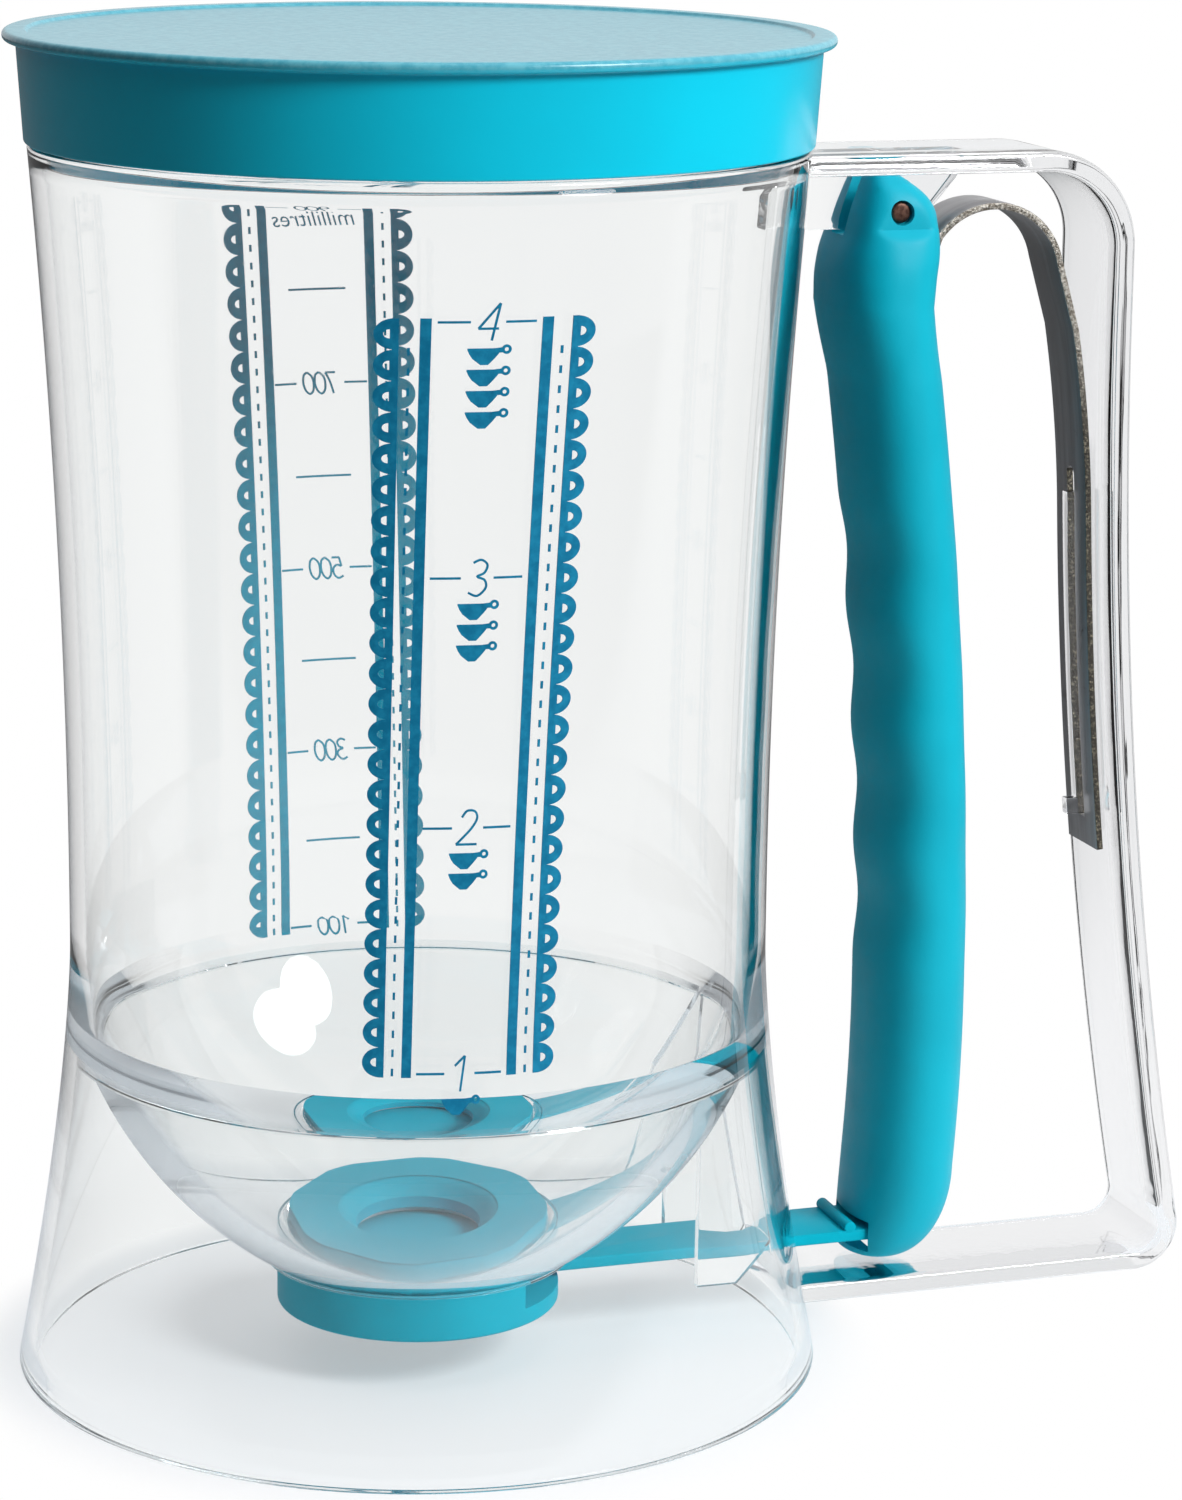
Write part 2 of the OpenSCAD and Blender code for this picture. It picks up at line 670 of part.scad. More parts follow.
module cup_scale_print() {
    low_z = cup_low_z - cup_band_drop;
    high_z = cup_low_z + (cup_marks - 1) * cup_pitch + cup_band_drop;
    color([0.08, 0.5, 0.62]) {
        for (side = [-1, 1]) {
            patch(cup_az, side * cup_bar_offset, bar_print_w, low_z, high_z, 12);
            patch(cup_az, side * cup_band_offset, band_print_w, low_z, high_z, 12);
        }
        for (i = [0 : cup_marks - 1], side = [-1, 1])
            tick(cup_az, side * cup_dash_offset, cup_dash_w, cup_low_z + i * cup_pitch);
    }
}

module ml_scale_print() {
    low_z = ml_low_z - ml_band_drop;
    high_z = ml_low_z + (ml_marks - 1) * ml_pitch + ml_band_drop;
    color([0.08, 0.5, 0.62]) {
        for (side = [-1, 1])
            patch(ml_az, side * ml_band_offset, band_print_w, low_z, high_z, 12);
        for (i = [0 : ml_marks - 1])
            tick(ml_az, -ml_tick_offset, i % 2 == 0 ? ml_tick_w : ml_long_tick_w, ml_low_z + i * ml_pitch);
    }
}

jar();
base_skirt();
guide_left();
guide_right();
handle();
trigger_lug();
spring_keeper();
seat_ring();
gate_seal();
valve_body();
gate_slide();
trigger();
pivot_pin();
leaf_spring();
lid();
cup_scale_print();
ml_scale_print();
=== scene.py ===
"""Looks of the batter dispenser: its clear moulding, lid, trigger, valve, spring and printed scales.

Lengths are in millimetres until a mesh is made, in the part's own frame: +Z up, the handle along +X.
"""
import math

import bmesh
import bpy
from mathutils import Matrix, Vector


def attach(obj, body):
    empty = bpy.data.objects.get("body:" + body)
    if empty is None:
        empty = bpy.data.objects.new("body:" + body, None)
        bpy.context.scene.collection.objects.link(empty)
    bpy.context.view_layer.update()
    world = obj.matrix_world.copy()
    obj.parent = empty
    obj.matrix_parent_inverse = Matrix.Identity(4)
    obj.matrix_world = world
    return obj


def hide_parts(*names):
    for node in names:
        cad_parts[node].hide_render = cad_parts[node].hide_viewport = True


MM = 0.001
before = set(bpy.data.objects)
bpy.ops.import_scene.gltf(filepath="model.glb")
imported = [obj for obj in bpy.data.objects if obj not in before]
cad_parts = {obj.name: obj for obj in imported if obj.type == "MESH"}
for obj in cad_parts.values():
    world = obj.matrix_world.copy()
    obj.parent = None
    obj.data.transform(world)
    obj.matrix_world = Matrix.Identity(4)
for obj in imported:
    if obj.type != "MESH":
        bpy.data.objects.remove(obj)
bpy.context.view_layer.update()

# ---------------------------------------------------------------- sizes
FREE_GAP = 0.3
SLIDE_GAP = 0.4
SEAT_GAP = 0.2
PIN_GAP = 0.05
INK_GAP = 0.03
INK_T = 0.15

BASE_R = 57.5
WAIST_R = 49.3
SHOULDER_R = 53.6
FLARE_TOP_Z = 62.0
FLARE_POWER = 1.5
WAIST_TOP_Z = 70.0
SHOULDER_Z = 174.0
RIM_Z = SHOULDER_Z + 13.6
NECK_R = SHOULDER_R - 1.4
WALL = 2.2
NECK_IN_R = NECK_R - WALL
CREASE_Z = 52.2
JOINT_Z = CREASE_Z - 3.2
BOWL_CURVE_R = 60.0
BOWL_UNDER_R = 58.0
FLOOR_LOW_Z = 15.6
FLOOR_Z = FLOOR_LOW_Z + 1.8
OUTLET_R = 9.5
SKIRT_WALL = 2.0
FOOT_STEP_H = 3.0

# the valve under the bowl, with the gate that slides in it
VALVE_R = 20.3
VALVE_LOW_Z = FLOOR_LOW_Z - 7.7
SPOUT_R = 10.5
COLLAR_R = VALVE_R + SEAT_GAP
COLLAR_W = 1.7
COLLAR_H = 0.7
SEAL_LOW_Z = FLOOR_LOW_Z - 0.7
SEAL_IN_R = OUTLET_R + FREE_GAP
SEAL_OUT_R = SEAL_IN_R + 3.4
GATE_R = 12.6
GATE_TOP_Z = SEAL_LOW_Z - SLIDE_GAP
BAR_W = 12.0
BAR_T = 1.7
BAR_TOP_Z = GATE_TOP_Z - 1.25
GATE_LOW_Z = BAR_TOP_Z - BAR_T
CHAMBER_HALF_W = GATE_R + 2 * SLIDE_GAP
CHAMBER_LOW_Z = GATE_LOW_Z - FREE_GAP
CHAMBER_END_X = -13.7
WINDOW_X = SPOUT_R + SEAT_GAP
WINDOW_HALF_W = CHAMBER_HALF_W + 3.7
WINDOW_LOW_Z = CHAMBER_LOW_Z - 0.7
SEAT_H = 2.2
SEAT_FLATS = 37.2
SEAT_CORNER = 0.7
SEAT_MOUTH_R = 11.55
SEAT_LIP = 0.3
FLOOR_R = SEAT_FLATS / 2 + SEAT_CORNER + FREE_GAP
LEG_Y = (CHAMBER_HALF_W + VALVE_R) / 2 - 0.5
LEG_W = 5.0
LEG_T = 2.0
LEG_LOW_Z = 12.0
LEG_TOP_Z = 18.5

# the handle, its lug for the trigger's pin, and the guides beside the pull bar
SHANK_X = BASE_R + 17.6
SHANK_DEPTH = 14.5
BAND_W = 20.0
BAND_T = 3.0
ARM_TOP_Z = SHOULDER_Z - 2
ARM_LOW_Z = 4.0
GRIP_X = SHANK_X + SHANK_DEPTH / 2 + 20.8
TOP_CORNER_R = 14.0
HEEL_R = 7.0
BACK_CURVE_R = 750.0
BEND_Z = ARM_TOP_Z - TOP_CORNER_R - 8
LUG_T = 4.0
LUG_TOP_Z = ARM_TOP_Z - BAND_T
LUG_LOW_Z = LUG_TOP_Z - 8.2
PIN_X = SHOULDER_R + 14
PIN_Z = LUG_TOP_Z - 5.3
PIN_R = 1.5
PIN_LEN = 17.0
GUIDE_LOW_Z = FLOOR_LOW_Z - 7.9
GUIDE_FRONT_X = 40.19
GUIDE_SLOPE = 6.3
GUIDE_IN_Y = 6.4
GUIDE_OUT_Y = GUIDE_IN_Y + 1.5

# the leaf spring and the keeper through its slot
SPRING_W = 10.4
SPRING_T = 1.0
SPRING_GAP = 1.0
SPRING_LIFT = 2.3
SPRING_LOW_Z = 68.5
SPRING_BEND_Z = PIN_Z - 45
LEAF_TOP_Z = PIN_Z - 18
LOOP_R = 10.4
LOOP_CENTRE = (PIN_X + 15.7, PIN_Z - 10.2)
LOOP_START = 144
LOOP_STOP = 12
TONGUE_TIP = (71.2, 149.0)
TONGUE_TOP = (74.886, 159.613)
KEEPER_LOW_Z = SPRING_LOW_Z + 4.5
KEEPER_TOP_Z = KEEPER_LOW_Z + 48.5
KEEPER_HALF_W = 0.9
SLOT_LOW_Z = KEEPER_LOW_Z - SLIDE_GAP
SLOT_TOP_Z = KEEPER_TOP_Z + 2.5
SLOT_HALF_W = KEEPER_HALF_W + SLIDE_GAP

# the trigger, and the pull bar's end in its notch
SHANK_W = 24.0
SHANK_WALL = 2.3
HEAD_DROP = 13.7
HEAD_Z = PIN_Z - HEAD_DROP
HEAD_TOP_Z = LUG_TOP_Z - SLIDE_GAP
KNEE_Z = GATE_LOW_Z + 36.4
TOE_Z = GATE_LOW_Z - 2.5
TOE_TOP_Z = TOE_Z + 13.5
TOE_IN = 2.4
TOE_DEPTH = 7.5
TOE_HALF_W = 6.5
SPINE_LEAN = 0.1
SWELL_DROP = 24
SWELL_H = 8.5
SWELL_FRONT = 0.6
SWELL_BACK = 0.3
GROOVE_PITCH = 17.6
GROOVE_TOP_Z = PIN_Z - 49.7
GROOVE_DEPTH = 0.8
NOTCH_LOW_Z = GATE_LOW_Z - 1.7
NOTCH_TOP_Z = BAR_TOP_Z + 1.2
NOTCH_HALF_W = BAR_W / 2 + 0.6
NOTCH_BACK_X = 73.24
HOOK_ROOM = 5.0
CAVITY_LOW_Z = TOE_Z + 12.9
CAVITY_TOP_Z = PIN_Z - 9.7
BACK_SLOT_LOW_Z = TOE_Z + 6.9
BACK_SLOT_HALF_W = SPRING_W / 2 + 0.6
LUG_SLOT_HALF_W = LUG_T / 2 + FREE_GAP
LUG_SLOT_DEPTH = 0.8
BAR_END_X = 70.44
HOOK_FRONT_X = BAR_END_X - 1.8
HOOK_TOP_Z = BAR_TOP_Z + 2.1
HOOK_W = 10.0
RIB_X = 64.64
RIB_R = 0.9

LID_LOW_Z = SHOULDER_Z + FREE_GAP
LID_SEAT_Z = RIM_Z + FREE_GAP
LID_TOP_Z = LID_SEAT_Z + 1.5
LID_WALL = 1.6
LID_SKIRT_R = NECK_R + SEAT_GAP + LID_WALL
LID_SKIRT_TOP_R = LID_SKIRT_R + 0.9
FLANGE_R = LID_SKIRT_TOP_R + 1.8
PANEL_R = FLANGE_R - 3.1
PANEL_DEPTH = 0.4
PLUG_R = NECK_IN_R - FREE_GAP
PLUG_T = 1.4
PLUG_LOW_Z = RIM_Z - 6


# ---------------------------------------------------------------- outlines
def wall_r(z):
    """Outer radius of the jug and its base at height z."""
    if z < FLARE_TOP_Z:
        return WAIST_R + (BASE_R - WAIST_R) * ((FLARE_TOP_Z - z) / FLARE_TOP_Z) ** FLARE_POWER
    if z > WAIST_TOP_Z:
        rise = (z - WAIST_TOP_Z) / (SHOULDER_Z - WAIST_TOP_Z)
        return WAIST_R + (SHOULDER_R - WAIST_R) * rise ** 2
    return WAIST_R


def bore_r(z):
    """Inner radius of the jug: straight below the waist."""
    return wall_r(max(z, FLARE_TOP_Z)) - WALL


def spread(low, high, pitch):
    """Even steps from low to high, about pitch apart."""
    steps = max(1, round(abs(high - low) / pitch))
    return [low + (high - low) * i / steps for i in range(steps + 1)]


def arc(centre, r, start, stop, steps):
    """Points of an arc round centre, its angles in degrees."""
    angles = [math.radians(start + (stop - start) * i / steps) for i in range(steps + 1)]
    return [(centre[0] + r * math.cos(a), centre[1] + r * math.sin(a)) for a in angles]


def bulge(p, q, r, steps):
    """Points from p to q on an arc that bulges to the right of the way between them."""
    p, q = Vector(p), Vector(q)
    half = (q - p).length / 2
    u = (q - p).normalized()
    centre = (p + q) / 2 + math.sqrt(r * r - half * half) * Vector((-u.y, u.x))
    start = math.degrees(math.atan2(p.y - centre.y, p.x - centre.x))
    stop = math.degrees(math.atan2(q.y - centre.y, q.x - centre.x))
    return arc(centre, r, start, stop, steps)


def rounded(corners, steps=5):
    """Outline whose corners with a third value are rounded to that radius."""
    points = []
    for i, corner in enumerate(corners):
        p = Vector(corner[:2])
        if len(corner) == 2:
            points.append(tuple(p))
            continue
        r = corner[2]
        a = (Vector(corners[i - 1][:2]) - p).normalized()
        b = (Vector(corners[(i + 1) % len(corners)][:2]) - p).normalized()
        half = a.angle(b) / 2
        centre = p + (a + b).normalized() * r / math.sin(half)
        start = p + a * r / math.tan(half) - centre
        stop = p + b * r / math.tan(half) - centre
        first = math.atan2(start.y, start.x)
        turn = (math.atan2(stop.y, stop.x) - first + math.pi) % (2 * math.pi) - math.pi
        for k in range(steps + 1):
            angle = first + turn * k / steps
            points.append((centre.x + r * math.cos(angle), centre.y + r * math.sin(angle)))
    return points


# ---------------------------------------------------------------- meshes
def put(name, data):
    """An object of the scene that holds a mesh, a curve, a lamp or a camera."""
    item = bpy.data.objects.new(name, data)
    bpy.context.scene.collection.objects.link(item)
    return item


def evaluated_mesh(piece):
    """The piece with its modifiers applied, as a plain mesh."""
    graph = bpy.context.evaluated_depsgraph_get()
    return bpy.data.meshes.new_from_object(piece.evaluated_get(graph))


def new_object(name, verts, faces):
    """A closed shell from points in millimetres, with its faces turned outwards."""
    mesh = bpy.data.meshes.new(name)
    mesh.from_pydata([Vector(v) * MM for v in verts], [], faces)
    shell = bmesh.new()
    shell.from_mesh(mesh)
    bmesh.ops.recalc_face_normals(shell, faces=shell.faces)
    shell.to_mesh(mesh)
    shell.free()
    return put(name, mesh)


def smooth(piece, angle=30):
    """Smooth shading, with edges sharper than angle kept."""
    piece.data.shade_smooth()
    piece.data.set_sharp_from_angle(angle=math.radians(angle))
    return piece


def rings_object(name, rings, closed=False):
    """A shell through rings of as many points each, capped at both ends or closed on itself."""
    n = len(rings[0])
    verts = [v for ring in rings for v in ring]
    spans = range(len(rings)) if closed else range(len(rings) - 1)
    faces = []
    for k in spans:
        a, b = k * n, (k + 1) % len(rings) * n
        faces += [(a + i, a + (i + 1) % n, b + (i + 1) % n, b + i) for i in range(n)]
    if not closed:
        faces.append(tuple(reversed(range(n))))
        faces.append(tuple(range(len(verts) - n, len(verts))))
    return new_object(name, verts, faces)


def lathe(name, outline, segments=192):
    """A solid of revolution from a closed outline of radius and height."""
    at_pole = 1e-6
    verts, starts = [], []
    for r, z in outline:
        starts.append(len(verts))
        if r < at_pole:
            verts.append((0, 0, z))
            continue
        for i in range(segments):
            angle = 2 * math.pi * i / segments
            verts.append((r * math.cos(angle), r * math.sin(angle), z))
    faces = []
    for k, (r, _) in enumerate(outline):
        nxt = (k + 1) % len(outline)
        a, b = starts[k], starts[nxt]
        pole_a, pole_b = r < at_pole, outline[nxt][0] < at_pole
        if pole_a and pole_b:
            continue
        for i in range(segments):
            j = (i + 1) % segments
            if pole_a:
                faces.append((a, b + j, b + i))
            elif pole_b:
                faces.append((a + i, a + j, b))
            else:
                faces.append((a + i, a + j, b + j, b + i))
    return new_object(name, verts, faces)


def plate(name, outline, y_low, y_high, edge=0.0):
    """An outline in x and z made solid from y_low to y_high, its long edges rounded off by edge."""
    rings = [[(x, y, z) for x, z in outline] for y in (y_low, y_high)]
    piece = rings_object(name, rings)
    if edge:
        bevel(piece, edge)
    return piece


def box(name, low, high, edge=0.0):
    """A box between two opposite corners."""
    outline = [(low[0], low[2]), (high[0], low[2]), (high[0], high[2]), (low[0], high[2])]
    return plate(name, outline, low[1], high[1], edge)


def bevel(piece, width, angle=40, segments=3):
    """Rounds every edge that is sharper than angle."""
    shell = bmesh.new()
    shell.from_mesh(piece.data)
    edges = [e for e in shell.edges if e.is_manifold and e.calc_face_angle() > math.radians(angle)]
    bmesh.ops.bevel(shell, geom=edges, offset=width * MM, segments=segments, profile=0.5,
                    affect="EDGES", clamp_overlap=True)
    shell.to_mesh(piece.data)
    shell.free()


def rod(name, r, y_low, y_high, x, z, edge=0.0, steps=48):
    """A round rod along Y."""
    ring = arc((x, z), r, 0, 360, steps)[:-1]
    return plate(name, ring, y_low, y_high, edge)


def combine(piece, others, operation):
    """Joins the others to a piece, or cuts them from it, and removes them."""
    for other in others:
        modifier = piece.modifiers.new(operation.lower(), "BOOLEAN")
        modifier.operation = operation
        modifier.solver = "MANIFOLD"
        modifier.object = other
    mesh = evaluated_mesh(piece)
    mesh.name = piece.name
    piece.modifiers.clear()
    old, piece.data = piece.data, mesh
    bpy.data.meshes.remove(old)
    for other in others:
        bpy.data.objects.remove(other)
    return piece


def finish_piece(piece, materials, body, slot, *nodes):
    """Gives a piece its materials, its body and the nodes that it stands for."""
    piece.data.materials.clear()  # cutting and joining leave an empty slot
    for material in materials:
        piece.data.materials.append(material)
    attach(piece, body)
    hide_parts(*nodes)


# ---------------------------------------------------------------- materials
class Value:
    """A socket in an expression: each operator adds the Math node that it stands for."""

    def __init__(self, finish, socket):
        self.finish = finish
        self.socket = socket

    def math(self, operation, *values):
        """A Math node on values."""
        return self.finish.node("Math", {i: v for i, v in enumerate(values)}, operation=operation)

    def __add__(self, other):
        return self.math("ADD", self, other)

    def __sub__(self, other):
        return self.math("SUBTRACT", self, other)

    def __rsub__(self, other):
        return self.math("SUBTRACT", other, self)

    def __mul__(self, other):
        return self.math("MULTIPLY", self, other)

    __radd__ = __add__
    __rmul__ = __mul__

    def at_most(self, limit):
        """The smaller of this and another value."""
        return self.math("MINIMUM", self, limit)

    def at_least(self, limit):
        """The larger of this and another value."""
        return self.math("MAXIMUM", self, limit)

    def between(self, low, high):
        """0 below low, 1 above high, and a smooth ramp between."""
        return self.finish.node("MapRange", {"Value": self, "From Min": low, "From Max": high},
                                interpolation_type="SMOOTHSTEP")


class Finish:
    """The nodes of a material or a world."""

    def __init__(self, owner):
        self.owner = owner
        owner.use_nodes = True
        self.tree = owner.node_tree
        self.tree.nodes.clear()

    def node(self, kind, sockets=None, output=0, **settings):
        """A node with its settings and its sockets' values or links, as the Value of one output."""
        node = self.tree.nodes.new("ShaderNode" + kind)
        for name, setting in settings.items():
            setattr(node, name, setting)
        for key, value in (sockets or {}).items():
            if isinstance(value, Value):
                self.tree.links.new(value.socket, node.inputs[key])
            else:
                node.inputs[key].default_value = value
        return Value(self, node.outputs[output])

    def place(self, scale=(1, 1, 1)):
        """The piece's own coordinates, stretched by scale."""
        spot = self.node("TexCoord", output="Object")
        return self.node("Mapping", {"Vector": spot, "Scale": scale})

    def axis(self, name):
        """The piece's own x, y or z, in millimetres."""
        spot = self.node("TexCoord", output="Object")
        return self.node("SeparateXYZ", {"Vector": spot}, output=name) * (1 / MM)

    def noise(self, scale, detail=3.0, rough=0.5, stretch=(1, 1, 1)):
        """Noise with scale features to a metre."""
        return self.node("TexNoise", {"Vector": self.place(stretch), "Scale": scale, "Detail": detail,
                                      "Roughness": rough})

    def blend(self, factor, low, high):
        """A colour between two others."""
        mix = self.tree.nodes.new("ShaderNodeMix")
        mix.data_type = "RGBA"
        self.tree.links.new(factor.socket, mix.inputs["Factor"])
        for socket, value in ((mix.inputs[6], low), (mix.inputs[7], high)):
            if isinstance(value, Value):
                self.tree.links.new(value.socket, socket)
            else:
                socket.default_value = value
        return Value(self, mix.outputs[2])

    def rays(self, *kinds):
        """Masks that are 1 for one kind of ray each."""
        return [self.node("LightPath", output=f"Is {kind} Ray") for kind in kinds]

    def toward(self, spot, direction):
        """How far a place lies in a direction."""
        return self.node("VectorMath", {0: spot, 1: direction}, output="Value", operation="DOT_PRODUCT")

    def bump(self, height, distance, strength=1.0):
        """The normal of a surface raised by up to distance millimetres."""
        return self.node("Bump", {"Height": height, "Distance": distance * MM, "Strength": strength})

    def output(self, shader, kind="Material"):
        """Ends the tree with a shader, and returns the material or the world."""
        node = self.tree.nodes.new("ShaderNodeOutput" + kind)
        self.tree.links.new(shader.socket, node.inputs["Surface"])
        return self.owner


def colour(red, green, blue):
    """A colour from its screen values, 0 to 255, by the sRGB curve."""
    values = [v / 255 for v in (red, green, blue)]
    return tuple(v / 12.92 if v <= 0.04045 else ((v + 0.055) / 1.055) ** 2.4 for v in values) + (1.0,)


JAR_TINT = (0.97, 0.978, 0.976, 1.0)
HANDLE_TINT = (0.88, 0.885, 0.895, 1.0)
# painted shade and reflection for clear plastic seen edge-on: blue-grey, and pale teal near the trigger
PAINTED_EDGE_SHADE = (0.5, 0.53, 0.62, 1.0)
PAINTED_TEAL_REFLECTION = (0.85, 0.92, 0.95, 1.0)
OPEN_TINT = (0.95, 0.96, 0.965, 1.0)


def clear_plastic(name, open_to):
    """Polished clear moulding with flow waves and fine scuffs, open to one kind of ray.

    The handle is greyer and wavier than the jug. Where the plastic is seen edge-on, blue-grey shade is
    painted into its colour, and towards the trigger a pale teal reflection of the trigger is painted in.
    """
    finish = Finish(bpy.data.materials.new(name))
    handle = finish.axis("X").between(54, 70)
    waves = finish.noise(45, 1.0, stretch=(1, 1, 0.4))
    lines = finish.noise(260, 2.0, stretch=(1, 1, 0.06))
    scuffs = finish.noise(900, 4.0, 0.65)
    aside = finish.node("LayerWeight", {"Blend": 0.5}, output="Facing")
    plain = finish.blend(handle, JAR_TINT, HANDLE_TINT)
    # painted light: the edge-on colour, blue-grey shade that turns to a pale teal reflection towards the
    # trigger
    edge = finish.blend(finish.axis("X").between(30, 45), PAINTED_EDGE_SHADE, PAINTED_TEAL_REFLECTION)
    glass = finish.node("BsdfPrincipled", {
        "Base Color": finish.blend(aside.between(0.78, 1.0), plain, edge),
        "Roughness": scuffs.between(0.55, 0.8) * 0.05 + 0.012,
        "IOR": 1.5,
        "Transmission Weight": 1.0,
        "Normal": finish.bump(waves * (handle * 0.5 + 0.5) + lines * handle * 0.6, 0.12, 0.5),
    })
    open_way = finish.node("BsdfTransparent", {"Color": OPEN_TINT})
    shadow, other = finish.rays("Shadow", open_to)
    seen = finish.node("MixShader", {0: shadow, 1: glass, 2: open_way})
    return finish.output(finish.node("MixShader", {0: other, 1: seen, 2: open_way}))


def moulded(name, tone, pale, rough, gloss):
    """Opaque moulded plastic: slight cloudiness, fine grain and a rub of wear in its gloss."""
    finish = Finish(bpy.data.materials.new(name))
    cloud = finish.noise(60, 3.0)
    fine = finish.noise(2600, 2.0, 0.6)
    rub = finish.noise(240, 4.0, 0.7)
    plastic = finish.node("BsdfPrincipled", {
        "Base Color": finish.blend(cloud.between(0.3, 0.7), tone, pale),
        "Roughness": rub.between(0.3, 0.75) * 0.1 + rough,
        "Specular IOR Level": gloss,
        "Normal": finish.bump(fine, 0.02, 0.6),
    })
    return finish.output(plastic)


def lid_plastic():
    """Soft satin plastic: a little cloudy, with a pale, mottled sheen painted on the top for the light from
    above.
    """
    finish = Finish(bpy.data.materials.new("lid_plastic"))
    cloud = finish.noise(30, 3.0)
    mottle = finish.noise(700, 5.0, 0.7)
    fine = finish.noise(2600, 2.0, 0.6)
    # painted sheen: the top turns to a paler, mottled colour that stands in for the light above reflecting
    # off it
    top = finish.axis("Z").between(LID_SEAT_Z + 0.2, LID_TOP_Z - 0.7)
    skirt = finish.blend(cloud.between(0.3, 0.7), colour(0, 196, 224), colour(0, 203, 231))
    painted_top_sheen = finish.blend(mottle.between(0.35, 0.65), colour(72, 162, 182), colour(99, 181, 197))
    plastic = finish.node("BsdfPrincipled", {
        "Base Color": finish.blend(top, skirt, painted_top_sheen),
        "Roughness": mottle * 0.08 + 0.2,
        "Specular IOR Level": 0.36,
        "Normal": finish.bump(fine, 0.015, 0.6),
    })
    return finish.output(plastic)


def strip_steel():
    """Rolled spring strip: grey, with lines along its length and a few brown specks."""
    finish = Finish(bpy.data.materials.new("spring_steel"))
    lines = finish.noise(500, 4.0, 0.6, stretch=(0.06, 1, 0.06))
    stain = finish.noise(160, 5.0, 0.7)
    grey = finish.blend(lines.between(0.3, 0.7), colour(136, 135, 137), colour(166, 165, 167))
    steel = finish.node("BsdfPrincipled", {
        "Base Color": finish.blend(stain.between(0.62, 0.78), grey, colour(98, 88, 80)),
        "Metallic": 1.0,
        "Roughness": lines * 0.25 + 0.28,
        "Normal": finish.bump(lines, 0.03, 0.6),
    })
    return finish.output(steel)


def cut_edge():
    """The strip's cut edge: torn, with painted light near the loop at the top and painted shade on the leaf
    below.
    """
    finish = Finish(bpy.data.materials.new("spring_edge"))
    torn = finish.noise(2600, 3.0, 0.6)
    # painted light and shade: a lit edge colour and a shaded one, both torn
    painted_lit_edge = finish.blend(torn.between(0.35, 0.7), colour(112, 106, 96), colour(196, 192, 184))
    painted_shaded_edge = finish.blend(torn.between(0.5, 0.7), colour(70, 67, 62), colour(130, 124, 108))
    steel = finish.node("BsdfPrincipled", {
        # painted light and shade by height: the lit colour near the loop, the shaded colour lower down
        "Base Color": finish.blend(finish.axis("Z").between(128, 152), painted_shaded_edge, painted_lit_edge),
        "Metallic": 1.0,
        "Roughness": torn * 0.3 + 0.3,
        "Normal": finish.bump(torn, 0.25, 1.0),
    })
    return finish.output(steel)


def pin_steel():
    """Dull drawn pin with a brown tone."""
    finish = Finish(bpy.data.materials.new("pin_steel"))
    marks = finish.noise(1800, 4.0, 0.7)
    steel = finish.node("BsdfPrincipled", {
        "Base Color": finish.blend(marks.between(0.3, 0.7), colour(70, 50, 44), colour(118, 88, 76)),
        "Metallic": 1.0,
        "Roughness": marks * 0.3 + 0.35,
        "Normal": finish.bump(marks, 0.05, 0.7),
    })
    return finish.output(steel)


def print_ink(name, tone, pale):
    """Screen printing ink, a little thin in places."""
    finish = Finish(bpy.data.materials.new(name))
    thin = finish.noise(700, 4.0, 0.6)
    ink = finish.node("BsdfPrincipled", {
        "Base Color": finish.blend(thin.between(0.35, 0.7), tone, pale),
        "Roughness": thin * 0.15 + 0.45,
        "Specular IOR Level": 0.15,
        "Normal": finish.bump(thin, 0.01, 0.5),
    })
    return finish.output(ink)


def silicone():
    """Matt translucent silicone for the gate's seal."""
    finish = Finish(bpy.data.materials.new("seal_rubber"))
    dust = finish.noise(600, 4.0, 0.6)
    rubber = finish.node("BsdfPrincipled", {
        "Base Color": finish.blend(dust.between(0.3, 0.7), colour(205, 214, 218), colour(222, 228, 230)),
        "Roughness": dust * 0.2 + 0.5,
        "Transmission Weight": 0.35,
        "IOR": 1.41,
        "Normal": finish.bump(dust, 0.02, 0.5),
    })
    return finish.output(rubber)


CLEAR = clear_plastic("clear_plastic", "Diffuse")
THICK_CLEAR = clear_plastic("thick_clear_plastic", "Reflection")
TRIGGER_TEAL = moulded("trigger_plastic", colour(0, 168, 190), colour(0, 175, 197), 0.45, 0.2)
VALVE_TEAL = moulded("teal_plastic", colour(0, 168, 190), colour(4, 176, 198), 0.4, 0.06)
LID_TEAL = lid_plastic()
STRIP = strip_steel()
EDGE = cut_edge()
PIN = pin_steel()
CUP_INK = print_ink("cup_ink", colour(8, 112, 150), colour(22, 132, 170))
# the ml ink is lighter than the cup ink; part of that is painted light, making up for the dim light it gets
# behind the jug's wall
ML_INK = print_ink("ml_ink", colour(0, 150, 178), colour(4, 162, 190))
SEAL = silicone()


# ---------------------------------------------------------------- the clear moulding
def bowl_underside():
    """Outer side of the bowl, from its collar to the skirt."""
    joint_r = wall_r(JOINT_Z) - SKIRT_WALL
    return bulge((COLLAR_R + COLLAR_W, FLOOR_LOW_Z), (joint_r, JOINT_Z), BOWL_UNDER_R, 24)


